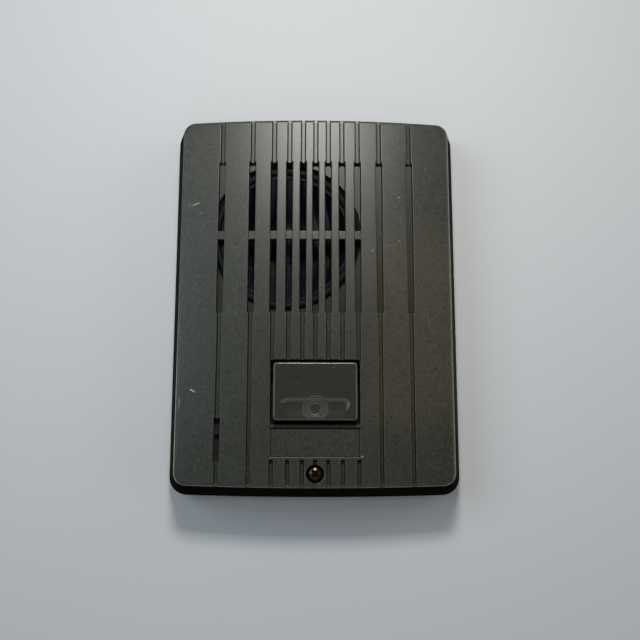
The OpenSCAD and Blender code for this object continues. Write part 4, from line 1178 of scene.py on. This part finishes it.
def scoop_height(settings, x, y):
    """Height of the scoop's round-ended trough, steep above its deepest line, shallow below it."""
    half, deep = mm(settings.scoop_height) / 2, mm(settings.scoop_depth)
    rise = (y - SCOOP_Y - SCOOP_SHIFT * half) / half
    share = np.where(rise > 0, rise / (1 - SCOOP_SHIFT), -rise / (1 + SCOOP_SHIFT))
    beyond = np.clip(np.abs(x) - (mm(settings.scoop_width) / 2 - half), 0, None) / half
    under = 1 - share ** 2 - beyond ** 2
    shallow = 1 + np.clip(np.where(rise > 0, 0, share), 0, 1)
    return BUTTON_FACE - deep * np.sign(under) * np.abs(under) ** shallow


def make_button(settings):
    half_w, half_h = mm(settings.width) / 2, mm(settings.height) / 2
    core = half_w - BUTTON_CORNER, half_h - BUTTON_CORNER
    flat_r = BUTTON_CORNER - BUTTON_ROUND
    corner = np.linspace(0, flat_r, 6)
    across = [s * (core[0] + c) for s in (-1, 1) for c in corner]
    across += [*np.arange(-5.2, 5.21, FINE_LINES), *np.arange(-11.9, 11.95, 0.2)]
    upwards = [s * (core[1] + c) for s in (-1, 1) for c in corner]
    rings_end = SCOOP_Y - BUTTON_Y + RING_LAST + 0.45
    upwards += list(np.arange(-core[1] - flat_r, rings_end, FINE_LINES))
    across, upwards = filled(across, 0.8), filled(upwards, 0.8)
    x, y = np.meshgrid(across, upwards)
    face_x, face_y, out_x, out_y = round_corners(x, y, *core)
    up = face_y + BUTTON_Y
    trough = scoop_height(settings, face_x, up)
    sag = np.clip(0.5 + (BUTTON_FACE - trough) / (2 * SCOOP_SOFT), 0, 1)
    height = BUTTON_FACE * (1 - sag) + trough * sag - SCOOP_SOFT * sag * (1 - sag)
    radius = np.hypot(face_x, up - SCOOP_Y)
    ridge = np.abs((radius - RING_FIRST) % RING_PITCH - RING_WIDTH / 2)
    ringed = np.clip((RING_WIDTH / 2 + RING_SOFT - ridge) / (2 * RING_SOFT), 0, 1)
    ringed *= (radius > RING_FIRST - 0.1) & (radius < RING_LAST + RING_WIDTH + 0.1)
    in_scoop = np.clip((BUTTON_FACE - trough) / SCOOP_LIP, 0, 1)
    # Painted reflection band on the scoop's steep upper wall
    brow = in_scoop * np.clip((trough - BUTTON_FACE + BROW_DEPTH) / BROW_FADE, 0, 1)
    brow *= up > SCOOP_Y + SCOOP_SHIFT * mm(settings.scoop_height) / 2
    from_edge = np.clip((core[1] + flat_r + y) / 0.3, 0, 1)
    height = height - ringed * RING_DEPTH * np.maximum(in_scoop, 0.5) * from_edge
    cap = Moulding("edge", "ring", "scoop")
    top = cap.add(
        np.stack([face_x, up, height], axis=-1), edge=BROW_HIGHLIGHT * brow.ravel(),
        ring=(ringed * from_edge).ravel(), scoop=in_scoop.ravel(),
    )
    under_x = face_x * (half_w - BUTTON_SKIRT) / (core[0] + flat_r)
    under_y = face_y * (half_h - BUTTON_SKIRT) / (core[1] + flat_r) + BUTTON_Y
    bottom = cap.add(np.stack([under_x, under_y, np.full_like(x, BUTTON_UNDER)], axis=-1))
    add_grid(cap, np.ones((x.shape[0] - 1, x.shape[1] - 1), bool), top, bottom)

    loop = border(*x.shape)
    spot_x, spot_y, way_x, way_y = (g.ravel()[loop] for g in (face_x, up, out_x, out_y))
    rows = [top[loop]]
    for turn in np.linspace(0, math.pi / 2, 9)[1:]:
        reach = BUTTON_ROUND * math.sin(turn)
        outer = np.column_stack([spot_x + reach * way_x, spot_y + reach * way_y])
        z = BUTTON_FACE - BUTTON_ROUND + BUTTON_ROUND * math.cos(turn)
        # Wear and a painted highlight along the rounded edge, strongest at 45 degrees
        rub = max(0.0, 1 - abs(math.degrees(turn) - 45) / 40)
        rows.append(cap.add(at_height(outer, z), edge=rub))
    inside = np.column_stack([under_x.ravel()[loop], under_y.ravel()[loop]])
    rows += [cap.add(at_height(line, BUTTON_FOOT)) for line in (outer, inside)]
    rows.append(bottom[loop])
    cap.skin(rows)
    nib = [
        (0.0, BUTTON_UNDER + 0.3), (NIB_R, BUTTON_UNDER + 0.3), (NIB_R, NIB_END + 0.3),
        (NIB_R - 0.3, NIB_END), (0.0, NIB_END),
    ]
    add_lathe(cap, nib, (0, NIB_Y), 32)
    finish = button_plastic(settings)
    return cap.piece("button_moulding", "button", ["call_button"], finish)


# Cover screw

SCREW_HEAD_TOP = 21.4
SCREW_DOME = 4.37
SCREW_SHANK = 1.45
SCREW_TIP = 0.5
SCREW_RIM = 0.15
CROSS_LONG, CROSS_WIDE, CROSS_DEEP = 2.85, 0.9, 1.15
CROSS_END, CROSS_SIDE = 0.75, 0.16
THREAD_PITCH, THREAD_DEEP = 0.5, 0.14


def make_screw(settings):
    head = mm(settings.head)
    side = np.linspace(-1, 1, 97)
    u, v = np.meshgrid(side, side)
    far = np.maximum(np.abs(u), np.abs(v))
    spread = np.where(far > 0, far / np.where(far > 0, np.hypot(u, v), 1), 0)
    x, y = u * spread * (head - SCREW_RIM), v * spread * (head - SCREW_RIM)
    dome = SCREW_HEAD_TOP - SCREW_DOME + np.sqrt(SCREW_DOME ** 2 - x * x - y * y)
    along = x * math.cos(settings.turn) + y * math.sin(settings.turn)
    aside = y * math.cos(settings.turn) - x * math.sin(settings.turn)
    cross = np.zeros_like(x)
    for a, b in ((along, aside), (aside, along)):
        ends = np.clip((CROSS_LONG / 2 - np.abs(a)) / CROSS_END, 0, 1)
        sides = np.clip((CROSS_WIDE / 2 - np.abs(b)) / CROSS_SIDE, 0, 1)
        np.maximum(cross, ends * sides, out=cross)
    turned = Moulding("cross")
    spots = np.stack([x + SCREW_AT[0], y + SCREW_AT[1], dome - CROSS_DEEP * cross], axis=-1)
    top = turned.add(spots, cross=cross.ravel())
    add_grid(turned, np.ones((len(side) - 1, len(side) - 1), bool), top)
    loop = border(*x.shape)
    way = np.arctan2(y.ravel()[loop], x.ravel()[loop])
    brow = float(dome.ravel()[loop].mean())
    steps = [
        (head - 0.07, brow - 0.05), (head - 0.02, brow - 0.12), (head, brow - 0.22),
        (head, SCREW_SEAT + 0.1), (head - 0.1, SCREW_SEAT), (SCREW_SHANK, SCREW_SEAT),
    ]
    z = SCREW_SEAT - THREAD_PITCH
    while z > SCREW_TIP + THREAD_PITCH:
        valley = SCREW_SHANK - THREAD_DEEP, z + 0.15
        steps += [(SCREW_SHANK, z + 0.3), valley, (SCREW_SHANK, z)]
        z -= THREAD_PITCH
    steps += [(SCREW_SHANK - 0.1, SCREW_TIP + 0.2), (SCREW_SHANK - 0.4, SCREW_TIP)]
    rows = [top[loop]]
    for radius, level in steps:
        rows.append(turned.add(round_spots(SCREW_AT, radius, way, level)))
    turned.skin(rows)
    turned.face(rows[-1][::-1])
    finish = bronze_painted_light(settings)
    return turned.piece("screw_turned", "unit", ["cover_screw"], finish)


# Loudspeaker

CONE_OUT, CONE_BRIM, CONE_TOP, CONE_T = 21.9, 0.5, 16.7, 0.5
CONE_NECK, CONE_NECK_Z = 6.8, 11.0
CAP_R, CAP_Z, CAP_H = 7.75, 11.95, 1.7
CAP_T = 0.3
ROLL_MID, ROLL_R, ROLL_T, ROLL_OUT, ROLL_Z = 23.75, 1.4, 0.3, 27.8, 17.2


def speaker_middle(settings):
    return mm(settings.across), mm(settings.up)


def make_cone(settings, finish):
    """The cone's sagging wall and its flat brim."""
    share = np.linspace(0, 1, 40)
    wall_r = CONE_OUT - CONE_BRIM - (CONE_OUT - CONE_BRIM - CONE_NECK) * share
    sag = 0.25 * np.sin(math.pi * share)
    wall_z = CONE_TOP - (CONE_TOP - CONE_T - CONE_NECK_Z) * share - sag
    front = [(CONE_OUT, CONE_TOP), *zip(wall_r, wall_z)]
    back = [(r - 0.1, z - CONE_T) for r, z in front[:0:-1]]
    back.append((CONE_OUT, CONE_TOP - CONE_T))
    skin = Moulding()
    add_lathe(skin, (front + back)[::-1], speaker_middle(settings), ROUND_STEPS)
    return skin.piece("cone_pressing", "cone", ["speaker_cone"], finish, 12)


def make_cap(settings, finish):
    """The dust cap, a shallow part of a ball."""
    share = np.linspace(0, 1, 24)
    ball = (CAP_R ** 2 + CAP_H ** 2) / (2 * CAP_H)
    r = CAP_R * share
    z = CAP_Z + CAP_H - ball + np.sqrt(ball ** 2 - r * r)
    front = list(zip(r, z))
    back = [(max(0.0, a - 0.05), b - CAP_T) for a, b in front[::-1]]
    dome = Moulding()
    add_lathe(dome, (front + back)[::-1], speaker_middle(settings), ROUND_STEPS)
    return dome.piece("dust_cap_dome", "cone", ["speaker_dust_cap"], finish, 50)


def make_roll(settings, finish):
    """The surround's half-round roll and its glued flange."""
    turn = np.linspace(0, math.pi, 21)
    top, inner_r = ROLL_Z + ROLL_T, ROLL_R - ROLL_T
    inner_h = inner_r - ROLL_T / 2
    outer = [(ROLL_MID + ROLL_R * math.cos(a), top + inner_r * math.sin(a)) for a in turn]
    inner = [(ROLL_MID + inner_r * math.cos(a), ROLL_Z + inner_h * math.sin(a)) for a in turn]
    lip = ROLL_MID - ROLL_R - 1.0
    outline = [(ROLL_OUT, top), *outer, (lip, top), (lip, ROLL_Z), *inner[::-1], (ROLL_OUT, ROLL_Z)]
    roll = Moulding()
    add_lathe(roll, outline[::-1], speaker_middle(settings), ROUND_STEPS)
    return roll.piece("surround_roll", "unit", ["speaker_surround"], finish, 50)


# Finishes of the parts that keep their solids

# Width of their broken edges, in millimetres
ROUNDED_PARTS = {
    "rear_case": 0.35, "wall_bracket": 0.2, "terminal_block": 0.25, "bracket_nut": 0.2,
    "terminal_plates": 0.12, "lead_connector": 0.15, "switch_body": 0.12, "amplifier_chip": 0.15,
    "bridge_rectifier": 0.2,
}
# Parts that look different from the rest of their material; the button's pin is darkened as painted
# shade, for the shaded gap round the button
OWN_FINISHES = {"button_pin": "shade_darkened_steel"}


def finish_solids():
    """Gives each solid that still shows the finish that its record names."""
    made = {}
    for entry in frame["record"]["subparts"]:
        solid = frame["nodes"][entry["node"]]
        if solid.hide_render:
            continue
        kind = OWN_FINISHES.get(entry["node"], entry["material_slot"])
        if kind not in made:
            recipe, *values = PLAIN_FINISHES[kind]
            made[kind] = recipe(kind, *values)
        solid.data.materials.clear()
        solid.data.materials.append(made[kind])


def round_solids():
    """Breaks the sharp edges of the moulded and pressed parts that show from behind."""
    for name, width in ROUNDED_PARTS.items():
        solid = frame["nodes"][name]
        flat = solid.modifiers.new("flat_faces", "DECIMATE")
        flat.decimate_type = "DISSOLVE"
        flat.angle_limit = math.radians(1)
        edge = solid.modifiers.new("broken_edges", "BEVEL")
        edge.width = width * MM
        edge.segments = 2
        edge.limit_method = "ANGLE"
        edge.angle_limit = math.radians(40)
        edge.harden_normals = False
        edge.miter_outer = "MITER_ARC"


# Stage

CAMERA_AT = (-0.0016, -0.2838, -0.0528)
CAMERA_TO = (0.0015, -0.0236, -0.0082)
CAMERA_ROLL = 0.10
LAMPS_TO = (0, -0.012, 0)
COOL = (0.76, 0.9, 1.0)
WARM = (1.0, 0.98, 0.94)
WALL_GAP = 0.0004


def aim(thing, at, to, roll=0.0):
    """Places a lamp or camera at one point and turns it to look at another."""
    way = Vector(to) - Vector(at)
    turned = way.to_track_quat("-Z", "Y").to_matrix().to_4x4()
    rolled = Matrix.Rotation(math.radians(roll), 4, "Z")
    thing.matrix_world = Matrix.Translation(at) @ turned @ rolled


def lamp(name, at, size, watts, tint=(1.0, 1.0, 1.0)):
    """An area lamp that looks at the middle of the unit."""
    light = bpy.data.lights.new(name, "AREA")
    light.shape = "RECTANGLE"
    light.size, light.size_y = size
    light.energy = watts
    light.color = tint
    made = bpy.data.objects.new(name, light)
    bpy.context.scene.collection.objects.link(made)
    aim(made, at, LAMPS_TO)


def wall_paint(settings):
    """Pale matt wall that can be seen through from behind."""
    f = Finish("wall_paint")
    cloud = f.noise(160, 2)
    base = f.mix(cloud, linear(shade(settings.wall, 0.985)), linear(settings.wall))
    paint = f.node("ShaderNodeBsdfDiffuse", {}, {"Color": base})
    clear = f.node("ShaderNodeBsdfTransparent")
    behind = f.node("ShaderNodeNewGeometry", output="Backfacing")
    shown = f.node("ShaderNodeMixShader", {}, {0: behind, 1: paint, 2: clear})
    f.node("ShaderNodeOutputMaterial", {}, {"Surface": shown})
    return f.material


def make_wall(settings):
    plane = bmesh.new()
    bmesh.ops.create_grid(plane, x_segments=8, y_segments=8, size=1.5)
    bmesh.ops.rotate(plane, verts=plane.verts, matrix=Matrix.Rotation(math.radians(90), 3, "X"))
    bmesh.ops.translate(plane, verts=plane.verts, vec=(0, WALL_GAP, 0))
    mesh = bpy.data.meshes.new("wall")
    plane.to_mesh(mesh)
    plane.free()
    mesh.materials.append(wall_paint(settings))
    wall = bpy.data.objects.new("wall", mesh)
    bpy.context.scene.collection.objects.link(wall)
    for ray in ("diffuse", "glossy", "transmission", "volume_scatter", "shadow"):
        setattr(wall, "visible_" + ray, False)


def light_world():
    """Pale to the eye and in metal seen from behind; dim in front, so dark gloss stays dark."""
    world = bpy.data.worlds.new("studio")
    bpy.context.scene.world = world
    world.use_nodes = True
    f = Finish.__new__(Finish)
    f.nodes = world.node_tree
    f.nodes.nodes.clear()
    way = f.node("ShaderNodeTexCoord", output="Generated")
    depth = f.node("ShaderNodeSeparateXYZ", {}, {0: way}, output="Y")
    behind = f.step(depth, -0.15, 0.35)
    seen, glossy, through = (
        f.node("ShaderNodeLightPath", output=f"Is {kind} Ray")
        for kind in ("Camera", "Glossy", "Transmission")
    )
    pale = seen.over(glossy.over(through) * behind)
    soft, plain = (
        f.node("ShaderNodeBackground", {}, {"Color": (*tint, 1.0), "Strength": strength})
        for tint, strength in (((0.92, 0.96, 1.0), 0.12), ((0.86, 0.865, 0.87), 1.0))
    )
    shown = f.node("ShaderNodeMixShader", {}, {0: pale, 1: soft, 2: plain})
    f.node("ShaderNodeOutputWorld", {}, {"Surface": shown})


def make_stage(settings):
    scene = bpy.context.scene
    scene.view_settings.view_transform = "Standard"
    lamp("key_lamp", (0, -0.30, 0.19), (0.07, 0.06), settings.key, WARM)
    lamp("fill_lamp", (-0.34, -0.45, 0.12), (0.3, 0.3), settings.fill, COOL)
    lamp("low_lamp", (0, -0.4, -0.28), (0.25, 0.3), settings.fill * 0.14, COOL)
    lamp("side_lamp", (0.6, -0.15, 0.1), (0.8, 0.8), settings.side)
    lamp("back_lamp", (0.25, 0.6, 0.35), (0.5, 0.5), settings.back)
    lamp("low_back_lamp", (-0.4, 0.5, -0.1), (0.4, 0.4), settings.back * 0.5)
    light_world()
    make_wall(settings)
    camera = bpy.data.objects.new("camera", bpy.data.cameras.new("camera"))
    camera.data.sensor_width = 36
    camera.data.lens = settings.lens
    camera.data.clip_start = 0.01
    scene.collection.objects.link(camera)
    aim(camera, CAMERA_AT, CAMERA_TO, CAMERA_ROLL)
    scene.camera = camera


# Operators and panel


class DOOR_OT_cover(bpy.types.Operator):
    """Mould the grooved cover with its grille, recess and screw hole"""

    bl_idname = "door_station.cover"
    bl_label = "Cover"

    def execute(self, context):
        make_cover(context.scene.door_cover)
        return {"FINISHED"}


class DOOR_OT_button(bpy.types.Operator):
    """Mould the call button with its scoop and rings"""

    bl_idname = "door_station.button"
    bl_label = "Call button"

    def execute(self, context):
        make_button(context.scene.door_button)
        return {"FINISHED"}


class DOOR_OT_screw(bpy.types.Operator):
    """Turn the cover screw with its cross recess"""

    bl_idname = "door_station.screw"
    bl_label = "Cover screw"

    def execute(self, context):
        make_screw(context.scene.door_screw)
        return {"FINISHED"}


class DOOR_OT_speaker(bpy.types.Operator):
    """Press the cone, dust cap and surround that show through the grille"""

    bl_idname = "door_station.speaker"
    bl_label = "Speaker"

    def execute(self, context):
        settings = context.scene.door_speaker
        film = cone_film(settings, "cone_film", 0.18, 0.38)
        make_cone(settings, film)
        make_cap(settings, film)
        make_roll(settings, cone_film(settings, "roll_film", 0.6, 0.2))
        return {"FINISHED"}


class DOOR_OT_solids(bpy.types.Operator):
    """Finish the solids that keep their shape and break their sharp edges"""

    bl_idname = "door_station.solids"
    bl_label = "Inner and rear parts"

    def execute(self, context):
        finish_solids()
        round_solids()
        return {"FINISHED"}


class DOOR_OT_stage(bpy.types.Operator):
    """Set up the wall, lamps and camera"""

    bl_idname = "door_station.stage"
    bl_label = "Stage"

    def execute(self, context):
        make_stage(context.scene.door_stage)
        return {"FINISHED"}


SETTINGS = {
    "door_cover": CoverSettings,
    "door_button": ButtonSettings,
    "door_speaker": SpeakerSettings,
    "door_screw": ScrewSettings,
    "door_stage": StageSettings,
}
STEPS = (
    DOOR_OT_cover, DOOR_OT_button, DOOR_OT_screw, DOOR_OT_speaker, DOOR_OT_solids, DOOR_OT_stage
)


class DOOR_PT_panel(bpy.types.Panel):
    """Lists the steps and the settings of the door station"""

    bl_idname = "DOOR_PT_panel"
    bl_label = "Door station"
    bl_space_type = "VIEW_3D"
    bl_region_type = "UI"
    bl_category = "Door station"

    def draw(self, context):
        for step in STEPS:
            self.layout.operator(step.bl_idname)
        for name, group in SETTINGS.items():
            box = self.layout.box()
            box.label(text=group.__doc__)
            for setting in group.__annotations__:
                box.prop(getattr(context.scene, name), setting)


def register():
    for kind in (*SETTINGS.values(), *STEPS, DOOR_PT_panel):
        bpy.utils.register_class(kind)
    for name, group in SETTINGS.items():
        setattr(bpy.types.Scene, name, PointerProperty(type=group))


def unregister():
    for name in SETTINGS:
        delattr(bpy.types.Scene, name)
    for kind in (DOOR_PT_panel, *reversed(STEPS), *reversed(SETTINGS.values())):
        bpy.utils.unregister_class(kind)


def main():
    register()
    bpy.ops.door_station.cover()
    bpy.ops.door_station.button()
    bpy.ops.door_station.screw()
    bpy.ops.door_station.speaker()
    bpy.ops.door_station.solids()
    bpy.ops.door_station.stage()


if __name__ == "__main__":
    main()
